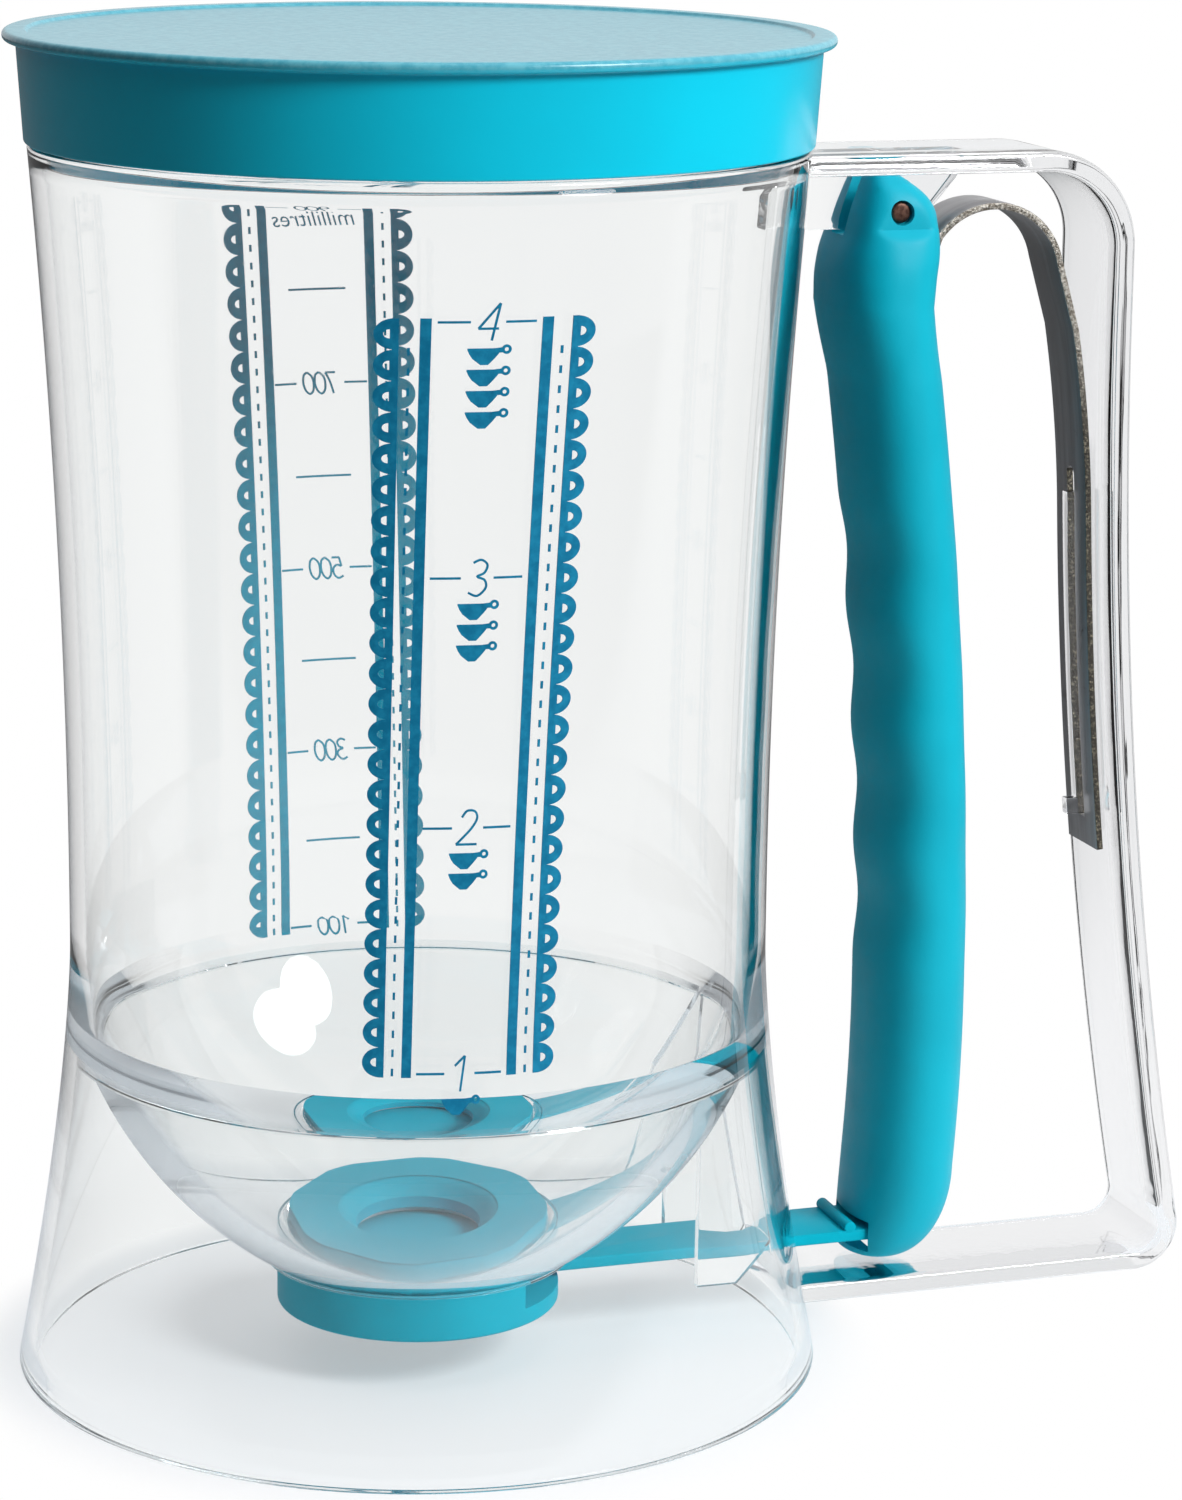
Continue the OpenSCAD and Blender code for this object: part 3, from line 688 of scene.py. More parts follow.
def moulding_outline():
    """Section of the jug, its bowl and the base skirt as one closed outline."""
    outer = [(wall_r(z), z) for z in spread(1, SHOULDER_Z - 1.2, 1.8)]
    inner = [(bore_r(z), z) for z in spread(SHOULDER_Z - 1.5, CREASE_Z + 1, 2.4)]
    bowl = bulge((FLOOR_R, FLOOR_Z), (bore_r(CREASE_Z), CREASE_Z), BOWL_CURVE_R, 24)
    under = bowl_underside()
    skirt = [(wall_r(z) - SKIRT_WALL, z) for z in spread(JOINT_Z - 1, FOOT_STEP_H, 1.8)]
    corners = [(BASE_R - 0.05, 0, 0.5)] + outer
    corners += [(SHOULDER_R, SHOULDER_Z, 0.5), (NECK_R, SHOULDER_Z, 0.3), (NECK_R, RIM_Z, 0.6),
                (NECK_IN_R, RIM_Z, 0.6), (NECK_IN_R, SHOULDER_Z + 1.5)]
    corners += inner
    corners += [(bore_r(CREASE_Z), CREASE_Z, 0.6)]
    corners += list(reversed(bowl[1:-1]))
    corners += [(FLOOR_R, FLOOR_Z, 0.4), (OUTLET_R, FLOOR_Z, 0.3), (OUTLET_R, FLOOR_LOW_Z, 0.3),
                (COLLAR_R, FLOOR_LOW_Z), (COLLAR_R, FLOOR_LOW_Z - COLLAR_H, 0.15),
                (COLLAR_R + COLLAR_W, FLOOR_LOW_Z - COLLAR_H, 0.25)]
    corners += under[:-1]
    corners += [(under[-1][0], under[-1][1], 0.5)]
    corners += skirt
    corners += [(wall_r(FOOT_STEP_H) - SKIRT_WALL, 0, 0.5)]
    return rounded(corners)


def handle_path():
    """Middle line of the handle's band, from the top arm round to the lower one."""
    half = BAND_T / 2
    back_centre = (GRIP_X + BACK_CURVE_R, BEND_Z)
    heel_angle = math.degrees(math.asin((BEND_Z - ARM_LOW_Z - HEEL_R) / (BACK_CURVE_R + HEEL_R)))
    heel_centre = (back_centre[0] - (BACK_CURVE_R + HEEL_R) * math.cos(math.radians(heel_angle)),
                   ARM_LOW_Z + HEEL_R)
    corner = (GRIP_X - TOP_CORNER_R, ARM_TOP_Z - TOP_CORNER_R)
    path = [(x, ARM_TOP_Z - half) for x in spread(52.0, corner[0] - 1, 3)]
    path += arc(corner, TOP_CORNER_R - half, 90, 0, 20)
    path += arc(back_centre, BACK_CURVE_R + half, 180, 180 + heel_angle, 50)
    path += arc(heel_centre, HEEL_R - half, heel_angle - 3, -90, 18)
    path += [(x, ARM_LOW_Z + half) for x in spread(heel_centre[0] - 1, 55.0, 3)]
    return path


def normals_of(path):
    """Unit normals, to the left of the way, at each point of a path."""
    out = []
    for i in range(len(path)):
        d = Vector(path[min(i + 1, len(path) - 1)]) - Vector(path[max(i - 1, 0)])
        d.normalize()
        out.append(Vector((-d.y, d.x)))
    return out


def band(name, path, section):
    """A section of width and thickness swept along a path in x and z."""
    rings = []
    for p, normal in zip(path, normals_of(path)):
        rings.append([(p[0] + normal.x * t, w, p[1] + normal.y * t) for w, t in section])
    return rings_object(name, rings)


def band_section(width, thickness, edge, steps=5):
    """Section of a band, with its corners rounded by edge."""
    half_w, half_t = width / 2, thickness / 2
    return rounded([(-half_w, -half_t, edge), (half_w, -half_t, edge), (half_w, half_t, edge),
                    (-half_w, half_t, edge)], steps)


def band_in_x(z):
    """Inner face of the handle's band at height z."""
    return GRIP_X + BACK_CURVE_R - math.sqrt((BACK_CURVE_R + BAND_T) ** 2 - min(0, z - BEND_Z) ** 2)


def make_lug():
    """Plate under the top arm that carries the trigger's pin, let into the arm and the wall."""
    root_x, foot_x, nose_x, end_x = 51.8, 72.5, 78.4, 79.2
    nose_h, let_in = 1.3, 0.8
    outline = [(root_x, LUG_TOP_Z + let_in), (end_x, LUG_TOP_Z + let_in), (end_x, LUG_TOP_Z),
               (nose_x, LUG_TOP_Z - nose_h), (foot_x, LUG_LOW_Z), (root_x, LUG_LOW_Z)]
    lug = plate("lug", outline, -LUG_T / 2, LUG_T / 2, 0.25)
    bore = rod("bore", PIN_R + PIN_GAP, -LUG_T - 1, LUG_T + 1, PIN_X, PIN_Z)
    return combine(lug, [bore], "DIFFERENCE")


def make_keeper():
    """Rib through the spring's slot, with a hook at its foot, let into the handle."""
    depth, hook_depth, let_in = 3, 4.6, 1
    low_z, hook_z = KEEPER_LOW_Z, KEEPER_LOW_Z + 2.5
    zs = spread(low_z, KEEPER_TOP_Z, 3)
    outline = [(band_in_x(z) + let_in, z) for z in zs]
    outline += [(band_in_x(z) - depth, z) for z in reversed(zs) if z > hook_z]
    outline += [(band_in_x(hook_z) - depth, hook_z), (band_in_x(hook_z) - hook_depth, hook_z),
                (band_in_x(low_z) - hook_depth, low_z)]
    return plate("keeper", outline, -KEEPER_HALF_W, KEEPER_HALF_W, 0.2)


def make_guide(side):
    """Plate beside the pull bar, with its edges let into the walls."""
    let_in = 0.6
    y_low, y_high = sorted((side * GUIDE_IN_Y, side * GUIDE_OUT_Y))
    y_mid = (y_low + y_high) / 2
    outline = [(GUIDE_FRONT_X, GUIDE_LOW_Z), (GUIDE_FRONT_X + GUIDE_SLOPE, GUIDE_LOW_Z),
               (GUIDE_FRONT_X + 2 * GUIDE_SLOPE, GUIDE_LOW_Z + GUIDE_SLOPE)]
    for z in spread(GUIDE_LOW_Z + GUIDE_SLOPE, JOINT_Z - 1, 2.5):
        reach = wall_r(z) - SKIRT_WALL + let_in
        outline.append((math.sqrt(reach ** 2 - y_mid ** 2), z))
    for r, z in reversed(bowl_underside()[:-1]):
        x = math.sqrt(max(0, (r - let_in / 2) ** 2 - y_mid ** 2))
        if x > GUIDE_FRONT_X:
            outline.append((x, z + let_in))
    return plate("guide", outline, y_low, y_high, 0.15)


def leg_slot(side):
    """Room for one leg of the seat ring, through the bowl's floor and into the valve."""
    half_w, half_t = LEG_W / 2 + SEAT_GAP, LEG_T / 2 + SEAT_GAP
    return box("slot", (-half_w, side * LEG_Y - half_t, LEG_LOW_Z),
               (half_w, side * LEG_Y + half_t, FLOOR_Z + 1))


def bar_window():
    """Opening in the skirt for the pull bar."""
    in_x, out_x, gap = 50, 62, 0.5
    return box("window", (in_x, -BAR_W / 2 - gap, GATE_LOW_Z - gap),
               (out_x, BAR_W / 2 + gap, BAR_TOP_Z + gap), 0.4)


def make_clear_moulding():
    """One piece: its inner faces below the waist and its lower arm have the thick finish."""
    moulding = lathe("clear_moulding", moulding_outline())
    handle = band("handle_band", handle_path(), band_section(BAND_W, BAND_T, 0.9))
    combine(moulding, [handle, make_lug(), make_keeper(), make_guide(1), make_guide(-1)], "UNION")
    combine(moulding, [bar_window(), leg_slot(1), leg_slot(-1)], "DIFFERENCE")
    finish_piece(smooth(moulding), [CLEAR, THICK_CLEAR], "jug_body", "clear_plastic", "jar", "base_skirt",
                 "handle", "trigger_lug", "guide_left", "guide_right", "spring_keeper")
    skin, arm_z = 0.4, ARM_LOW_Z + BAND_T + 0.2
    for face in moulding.data.polygons:
        x, y, z = face.center / MM
        inside = z < FLARE_TOP_Z and math.hypot(x, y) < wall_r(z) - skin
        face.material_index = int(inside or (x > BASE_R and z < arm_z))


# ---------------------------------------------------------------- lid
def make_lid():
    """Skirt with a flange on top, a plug inside the rim and a sunk panel."""
    edge = 0.72
    outline = rounded([
        (0, LID_SEAT_Z), (PLUG_R - PLUG_T, LID_SEAT_Z, 0.5), (PLUG_R - PLUG_T, PLUG_LOW_Z, 0.5),
        (PLUG_R, PLUG_LOW_Z, 0.5), (PLUG_R, LID_SEAT_Z, 0.4), (LID_SKIRT_TOP_R - LID_WALL, LID_SEAT_Z, 0.4),
        (LID_SKIRT_R - LID_WALL, LID_LOW_Z, 0.35), (LID_SKIRT_R, LID_LOW_Z, 0.35),
        (LID_SKIRT_TOP_R, LID_SEAT_Z, 0.35), (FLANGE_R, LID_SEAT_Z, edge), (FLANGE_R, LID_TOP_Z, edge),
        (PANEL_R, LID_TOP_Z, 0.3), (PANEL_R - PANEL_DEPTH, LID_TOP_Z - PANEL_DEPTH, 0.3),
        (0, LID_TOP_Z - PANEL_DEPTH)], 6)
    finish_piece(smooth(lathe("lid_shell", outline, 256), 40), [LID_TEAL], "lid_body", "lid_plastic", "lid")


# ---------------------------------------------------------------- trigger
def along(table, x):
    """Value at x on a smooth curve through the points of a table."""
    last = len(table) - 1
    k = max(0, min(last - 1, sum(point[0] <= x for point in table) - 1))
    slopes = []
    for i in (k, k + 1):
        low, high = table[max(0, i - 1)], table[min(last, i + 1)]
        slopes.append((high[1] - low[1]) / (high[0] - low[0]))
    (x0, y0), (x1, y1) = table[k], table[k + 1]
    t = min(1.0, max(0.0, (x - x0) / (x1 - x0)))
    rise = 3 * t ** 2 - 2 * t ** 3
    bend = (t ** 3 - 2 * t ** 2 + t) * slopes[0] + (t ** 3 - t ** 2) * slopes[1]
    return y0 + (y1 - y0) * rise + (x1 - x0) * bend


# the head's front and back, and how far its sides draw in, against the height over the pin
HEAD_FRONT = [(-HEAD_DROP, -7.95), (-9.5, -7.85), (-6.5, -7.3), (-3.4, -6.2), (0, -5.3), (2.3, -4.5),
              (4.9, -3.6)]
HEAD_BACK = [(-HEAD_DROP, 6.85), (-10, 7.1), (-7, 7.4), (-4.5, 7.3), (-2, 6.95), (0, 6.6), (1.8, 5.5),
             (3.4, 3.7), (4.9, 1.4)]
HEAD_TAPER = [(-HEAD_DROP, 0), (-8, 0.3), (-4, 1.2), (-1, 2.1), (1.5, 3.0), (3.4, 4.2), (4.9, 5.9)]
PAD_HALF_W = 9.25
PAD_LOW_Z = PIN_Z - 2.4
PAD_SLOPE = 1.2
PAD_SOFT = 0.5


def ramp(x, low, high):
    """0 below low, 1 above high, and a smooth rise between."""
    t = min(1.0, max(0.0, (x - low) / (high - low)))
    return t * t * (3 - 2 * t)


def spine_x(z):
    """The shank's middle line, which bends forward above the knee and below it."""
    if z > KNEE_Z:
        return SHANK_X - (SHANK_X - PIN_X + SPINE_LEAN) * ((z - KNEE_Z) / (HEAD_Z - KNEE_Z)) ** 2
    return SHANK_X - TOE_IN * ((KNEE_Z - z) / (KNEE_Z - TOE_Z)) ** 2


def groove(z):
    """Depth of the four finger grooves at height z."""
    n = (GROOVE_TOP_Z - z) / GROOVE_PITCH
    return GROOVE_DEPTH * (1 + math.cos(2 * math.pi * n)) / 2 if -0.5 < n < 3.5 else 0


def swell(z):
    """0 to 1: the shank swells forward and draws in at the back just below the head."""
    return math.sin(math.pi / 2 * min(1.0, max(0.0, (z - PIN_Z + SWELL_DROP) / SWELL_H)))


def front_x(z):
    """Front of the trigger at height z, without its grooves."""
    if z > HEAD_Z:
        return PIN_X + along(HEAD_FRONT, z - PIN_Z)
    return spine_x(z) - SHANK_DEPTH / 2 - SWELL_FRONT * swell(z)


def toe_round(z):
    """0 at the toe's tip to 1 where the toe ends."""
    return math.sqrt(max(0, 1 - ((TOE_TOP_Z - z) / (TOE_TOP_Z - TOE_Z)) ** 2))


def back_x(z):
    """Back of the trigger at height z, rounded at the toe."""
    if z > HEAD_Z:
        return PIN_X + along(HEAD_BACK, z - PIN_Z)
    if z < TOE_TOP_Z:
        low = front_x(TOE_Z) + TOE_DEPTH
        return low + (spine_x(TOE_TOP_Z) + SHANK_DEPTH / 2 - low) * toe_round(z)
    return spine_x(z) + SHANK_DEPTH / 2 - SWELL_BACK * swell(z)


def half_w(z):
    """Half the trigger's width at height z."""
    if z > HEAD_Z:
        return SHANK_W / 2 - along(HEAD_TAPER, z - PIN_Z)
    if z < TOE_TOP_Z:
        return TOE_HALF_W + (SHANK_W / 2 - TOE_HALF_W) * toe_round(z)
    return SHANK_W / 2


def squareness(z):
    """Power of the oval section: 2 is an ellipse, and more is squarer."""
    shank, neck, head = 2.15, 0.35, 0.5
    neck_z = PIN_Z - 9
    return shank + neck * ramp(z, PIN_Z - SWELL_DROP, neck_z) + head * ramp(z, neck_z, PIN_Z - 2)


def shank_ring(z, inset, grooved, points=128):
    """Oval section of the trigger at height z, with a flat pad round the pin."""
    front = front_x(z) + inset + (groove(z) if grooved else 0)
    back = back_x(z) - inset
    power = 2 / squareness(z)
    pad = PAD_HALF_W + PAD_SLOPE * max(0, PAD_LOW_Z - z)
    ring = []
    for i in range(points):
        angle = 2 * math.pi * i / points
        across, out = math.cos(angle), math.sin(angle)
        x = (front + back) / 2 + (back - front) / 2 * math.copysign(abs(across) ** power, across)
        y = (half_w(z) - inset) * abs(out) ** power
        y = (y + pad - math.hypot(y - pad, PAD_SOFT)) / 2 + 0.5 * (math.hypot(pad, PAD_SOFT) - pad)
        ring.append((x, math.copysign(y, out), z))
    return ring


def trigger_cuts():
    """The hollow, the bar's notch, and the room for the spring's tongue, the lug and the pin."""
    # where a cut ends outside the trigger: before it, behind it, under it, over it and beside it
    notch_x, lug_x, tongue_x, behind_x, under_z, over_z, beside = 60, 53, 82, 95, 5, ARM_TOP_Z, 14
    tongue_low, tongue_front = 148, 70
    recess_r, recess_in = PIN_R + 0.25, 7.7
    cavity_zs = spread(CAVITY_LOW_Z, CAVITY_TOP_Z, 3)
    return [
        rings_object("cavity", [shank_ring(z, SHANK_WALL, False, 48) for z in cavity_zs]),
        box("notch", (notch_x, -NOTCH_HALF_W, NOTCH_LOW_Z), (NOTCH_BACK_X, NOTCH_HALF_W, NOTCH_TOP_Z), 0.3),
        box("below", (NOTCH_BACK_X - HOOK_ROOM, -NOTCH_HALF_W, under_z),
            (NOTCH_BACK_X, NOTCH_HALF_W, CAVITY_LOW_Z + 0.01)),
        box("back_slot", (SHANK_X, -BACK_SLOT_HALF_W, BACK_SLOT_LOW_Z),
            (behind_x, BACK_SLOT_HALF_W, HEAD_Z), 0.4),
        box("tongue_room", (tongue_front, -BACK_SLOT_HALF_W, tongue_low),
            (tongue_x, BACK_SLOT_HALF_W, over_z), 0.4),
        box("lug_slot", (lug_x, -LUG_SLOT_HALF_W, LUG_LOW_Z - LUG_SLOT_DEPTH),
            (tongue_x, LUG_SLOT_HALF_W, over_z), 0.2),
        rod("pin_bore", PIN_R + PIN_GAP, -beside, beside, PIN_X, PIN_Z),
        rod("recess_left", recess_r, recess_in, beside, PIN_X, PIN_Z),
        rod("recess_right", recess_r, -beside, -recess_in, PIN_X, PIN_Z),
    ]


def make_trigger():
    """Rings from the toe's tip to the head's top, closest at both ends, less the cuts."""
    toe_zs = [TOE_TOP_Z - (TOE_TOP_Z - TOE_Z) * math.cos(math.radians(a)) for a in range(0, 87, 3)]
    zs = toe_zs + spread(TOE_TOP_Z, HEAD_Z, 1.2) + spread(HEAD_Z + 0.5, HEAD_TOP_Z, 0.3)
    shell = rings_object("trigger_shell", [shank_ring(z, 0, True) for z in zs])
    combine(shell, trigger_cuts(), "DIFFERENCE")
    finish_piece(smooth(shell, 35), [TRIGGER_TEAL], "trigger_body", "teal_plastic", "trigger")


def make_pin():
    """The trigger's pin, with rounded ends."""
    pin = rod("pin", PIN_R, -PIN_LEN / 2, PIN_LEN / 2, PIN_X, PIN_Z, 0.45)
    finish_piece(smooth(pin), [PIN], "jug_body", "pin_steel", "pivot_pin")


# ---------------------------------------------------------------- leaf spring
def spring_x(z):
    """Middle of the leaf at height z: along the handle's band, and lifted off it near the loop."""
    lift = SPRING_LIFT * (max(0, z - SPRING_BEND_Z) / (LEAF_TOP_Z - SPRING_BEND_Z)) ** 2
    return band_in_x(z) - (SPRING_GAP + SPRING_T / 2) - lift


def spring_path():
    """Middle line of the strip: tongue, loop and leaf."""
    steps = 6
    (x, z), (top_x, top_z) = TONGUE_TIP, TONGUE_TOP
    path = [(x + (top_x - x) * t / steps, z + (top_z - z) * t / steps) for t in range(steps)]
    path += arc(LOOP_CENTRE, LOOP_R, LOOP_START, LOOP_STOP, 44)
    path += [(spring_x(z), z) for z in spread(LEAF_TOP_Z, SPRING_LOW_Z, 1.6)]
    return path


def make_spring():
    """The strip with its slot, and another finish on the cut edges."""
    slot_ends, sideways = (85, 115), 0.8
    strip = band("spring_strip", spring_path(), band_section(SPRING_W, SPRING_T, 0.15, 2))
    hole = [(-SLOT_HALF_W, SLOT_LOW_Z), (SLOT_HALF_W, SLOT_LOW_Z)]
    hole += arc((0, SLOT_TOP_Z), SLOT_HALF_W, 0, 180, 16)
    slot = rings_object("slot", [[(x, y, z) for y, z in hole] for x in slot_ends])
    combine(strip, [slot], "DIFFERENCE")
    finish_piece(smooth(strip), [STRIP, EDGE], "jug_body", "spring_steel", "leaf_spring")
    for face in strip.data.polygons:
        face.material_index = int(abs(face.normal.y) > sideways)


# ---------------------------------------------------------------- valve
def ring_reach(angle, soft=24, swollen=1.004):
    """Radius of the seat ring's outline: an octagon that is soft at its corners."""
    sides = [max(0.0, math.cos(angle - math.radians(45 * k))) for k in range(8)]
    octagon = SEAT_FLATS / 2 / sum(s ** soft for s in sides) ** (1 / soft)
    return min(octagon * swollen, SEAT_FLATS / 2 + SEAT_CORNER)


def seat_ring_section():
    """Points at 0 and just inside it follow the octagon, and points round -1 the mouth."""
    low, top, lip_z = FLOOR_Z, FLOOR_Z + SEAT_H, FLOOR_LOW_Z + 0.1
    section = rounded([(0.0, low), (0.0, top, 0.7), (-1.0, top, 0.9), (-1.0, low)], 6)
    return section + [(-1.0, lip_z), (-0.8, lip_z), (-0.8, low)]


def make_seat_ring():
    """An octagon outside and a funnel inside, with a lip in the outlet and two legs."""
    section, segments = seat_ring_section(), 144
    top = FLOOR_Z + SEAT_H
    narrowing = SEAT_MOUTH_R - (OUTLET_R - SEAT_LIP)
    rings = []
    for i in range(segments):
        angle = 2 * math.pi * i / segments
        reach = ring_reach(angle)
        ring = []
        for side, z in section:
            sunk = (top - z) / (top - FLOOR_Z)
            mouth = SEAT_MOUTH_R - narrowing * min(1.0, sunk)
            r = reach + side if side > -0.5 else mouth + (side + 1.0)
            ring.append((r * math.cos(angle), r * math.sin(angle), z))
        rings.append(ring)
    ring = rings_object("seat_ring_shell", rings, closed=True)
    legs = [box("leg", (-LEG_W / 2, side * LEG_Y - LEG_T / 2, LEG_LOW_Z),
                (LEG_W / 2, side * LEG_Y + LEG_T / 2, LEG_TOP_Z), 0.2) for side in (-1, 1)]
    combine(ring, legs, "UNION")
    finish_piece(smooth(ring, 35), [VALVE_TEAL], "jug_body", "teal_plastic", "seat_ring")


def make_valve_body():
    """Drum under the bowl with the gate's chamber, a window for the bar, and a spout."""
    past_x, past_z = 22, 17
    drum = lathe("valve_drum", rounded([(0, VALVE_LOW_Z), (VALVE_R, VALVE_LOW_Z, 0.6),
                                        (VALVE_R, FLOOR_LOW_Z, 0.3), (0, FLOOR_LOW_Z)]), 160)
    # a rod lies along Y, so the spout's is turned upright
    spout = rod("spout", SPOUT_R, 5, 14, 0, 0, steps=128)
    spout.data.transform(Matrix.Rotation(math.pi / 2, 4, "X"))
    cuts = [
        box("chamber", (CHAMBER_END_X, -CHAMBER_HALF_W, CHAMBER_LOW_Z),
            (past_x, CHAMBER_HALF_W, past_z), 0.3),
        box("window", (WINDOW_X, -WINDOW_HALF_W, WINDOW_LOW_Z), (past_x, WINDOW_HALF_W, past_z), 0.2),
        spout, leg_slot(1), leg_slot(-1),
    ]
    combine(drum, cuts, "DIFFERENCE")
    finish_piece(smooth(drum, 35), [VALVE_TEAL], "jug_body", "teal_plastic", "valve_body")


def make_gate_slide():
    """Round gate with its pull bar, a cross rib and a hook at the bar's end."""
    disc = lathe("gate", rounded([(0, GATE_LOW_Z), (GATE_R, GATE_LOW_Z, 0.3), (GATE_R, GATE_TOP_Z, 0.5),
                                  (0, GATE_TOP_Z)]), 128)
    parts = [
        box("bar", (0, -BAR_W / 2, GATE_LOW_Z), (BAR_END_X, BAR_W / 2, BAR_TOP_Z), 0.3),
        rod("rib", RIB_R, -BAR_W / 2, BAR_W / 2, RIB_X, BAR_TOP_Z + RIB_R / 2, 0.2),
        box("hook", (HOOK_FRONT_X, -HOOK_W / 2, BAR_TOP_Z - 0.5), (BAR_END_X, HOOK_W / 2, HOOK_TOP_Z), 0.3),
    ]
    combine(disc, parts, "UNION")
    finish_piece(smooth(disc, 35), [VALVE_TEAL], "gate_body", "teal_plastic", "gate_slide")


def make_seal():
    """Flat ring between the bowl's floor and the gate."""
    section = [(SEAL_IN_R, SEAL_LOW_Z), (SEAL_OUT_R, SEAL_LOW_Z), (SEAL_OUT_R, FLOOR_LOW_Z),
               (SEAL_IN_R, FLOOR_LOW_Z)]
    ring = lathe("seal", rounded([(r, z, 0.2) for r, z in section]), 96)
    finish_piece(smooth(ring), [SEAL], "jug_body", "seal_rubber", "gate_seal")


# ---------------------------------------------------------------- printed scales
BORDER_W = 7.0
BORDER_BAR_W = 1.4
STITCH_IN = 2.7
STITCH_W = 0.35
STITCH_H = 1.0
STITCH_RISE = 0.2
STITCH_PITCH = 2.6
LACE_BAND_W = 0.85
LOOP_REACH = 2.25
LOOP_ROOT = 0.3
LOOP_HOLE_IN = 0.25
LOOP_HOLE = (0.8, 0.6)
LOOP_FILL = 0.995
PEN = 0.3
CUP_MARKS = ((56.2, 1), (89.6, 2), (123.0, 3), (156.4, 4))
ML_LOW_Z = 50.4
ML_PITCH = 13.9

# a little cup, from its rim's middle: its sides, its arm's edges, and the ring at the arm's end
CUP_LEFT = [(-2.1, 0), (-2.1, -0.2), (-1.85, -0.75), (-1.45, -1.35), (-0.7, -1.95), (-0.45, -2.15)]
CUP_RIGHT = [(2.1, 0), (2.0, -0.35), (1.75, -0.75), (1.3, -1.3), (0.75, -1.9), (0.5, -2.15)]
CUP_ARM_TOP = [(1.2, 0), (2.3, 0.12)]
CUP_ARM_LOW = [(1.2, -0.6), (2.4, -0.55)]
CUP_RING = (2.75, -0.15)
CUP_RING_R = (0.62, 0.26)

# pen strokes of the numerals, in a box one unit high round the middle
NUMERALS = {
    "0": [[(0.0, 0.5), (-0.2, 0.3), (-0.25, 0), (-0.18, -0.35), (0.0, -0.5), (0.18, -0.33), (0.25, 0),
           (0.18, 0.36), (0.0, 0.5)]],
    "1": [[(-0.2, 0.22), (0.06, 0.5)], [(0.06, 0.5), (0.06, -0.5)]],
    "2": [[(-0.24, 0.3), (-0.12, 0.48), (0.1, 0.47), (0.2, 0.28), (0.1, 0.02), (-0.12, -0.26),
           (-0.3, -0.46)], [(-0.3, -0.46), (0.3, -0.46)]],
    "3": [[(-0.2, 0.42), (0.0, 0.5), (0.19, 0.36), (0.14, 0.14), (-0.04, 0.04), (0.18, -0.06), (0.24, -0.28),
           (0.04, -0.49), (-0.22, -0.4)]],
    "4": [[(0.2, 0.5), (-0.26, -0.18)], [(-0.26, -0.18), (0.26, -0.18)], [(0.2, 0.5), (0.13, -0.5)]],
    "5": [[(0.22, 0.48), (-0.14, 0.48)], [(-0.14, 0.48), (-0.2, 0.06)],
          [(-0.2, 0.06), (0.04, 0.12), (0.22, -0.08), (0.18, -0.36), (0.0, -0.5), (-0.24, -0.4)]],
    "7": [[(-0.22, 0.47), (0.24, 0.47)], [(0.24, 0.47), (0.08, 0.05), (-0.02, -0.5)]],
    "9": [[(0.2, 0.26), (0.06, 0.48), (-0.16, 0.42), (-0.2, 0.16), (-0.04, 0.0), (0.16, 0.1), (0.2, 0.26)],
          [(0.2, 0.26), (0.2, -0.05), (0.04, -0.5)]],
}


def curve_through(points, steps=6):
    """A smooth line through points."""
    if len(points) == 2:
        return [Vector(p) for p in points]
    line = []
    ends = [points[0], *points, points[-1]]
    for a, b, c, d in zip(ends, ends[1:], ends[2:], ends[3:]):
        a, b, c, d = Vector(a), Vector(b), Vector(c), Vector(d)
        for k in range(steps):
            t = k / steps
            line.append(0.5 * (2 * b + (c - a) * t + (2 * a - 5 * b + 4 * c - d) * t * t
                               + (3 * b - a - 3 * c + d) * t ** 3))
    line.append(Vector(points[-1]))
    return line


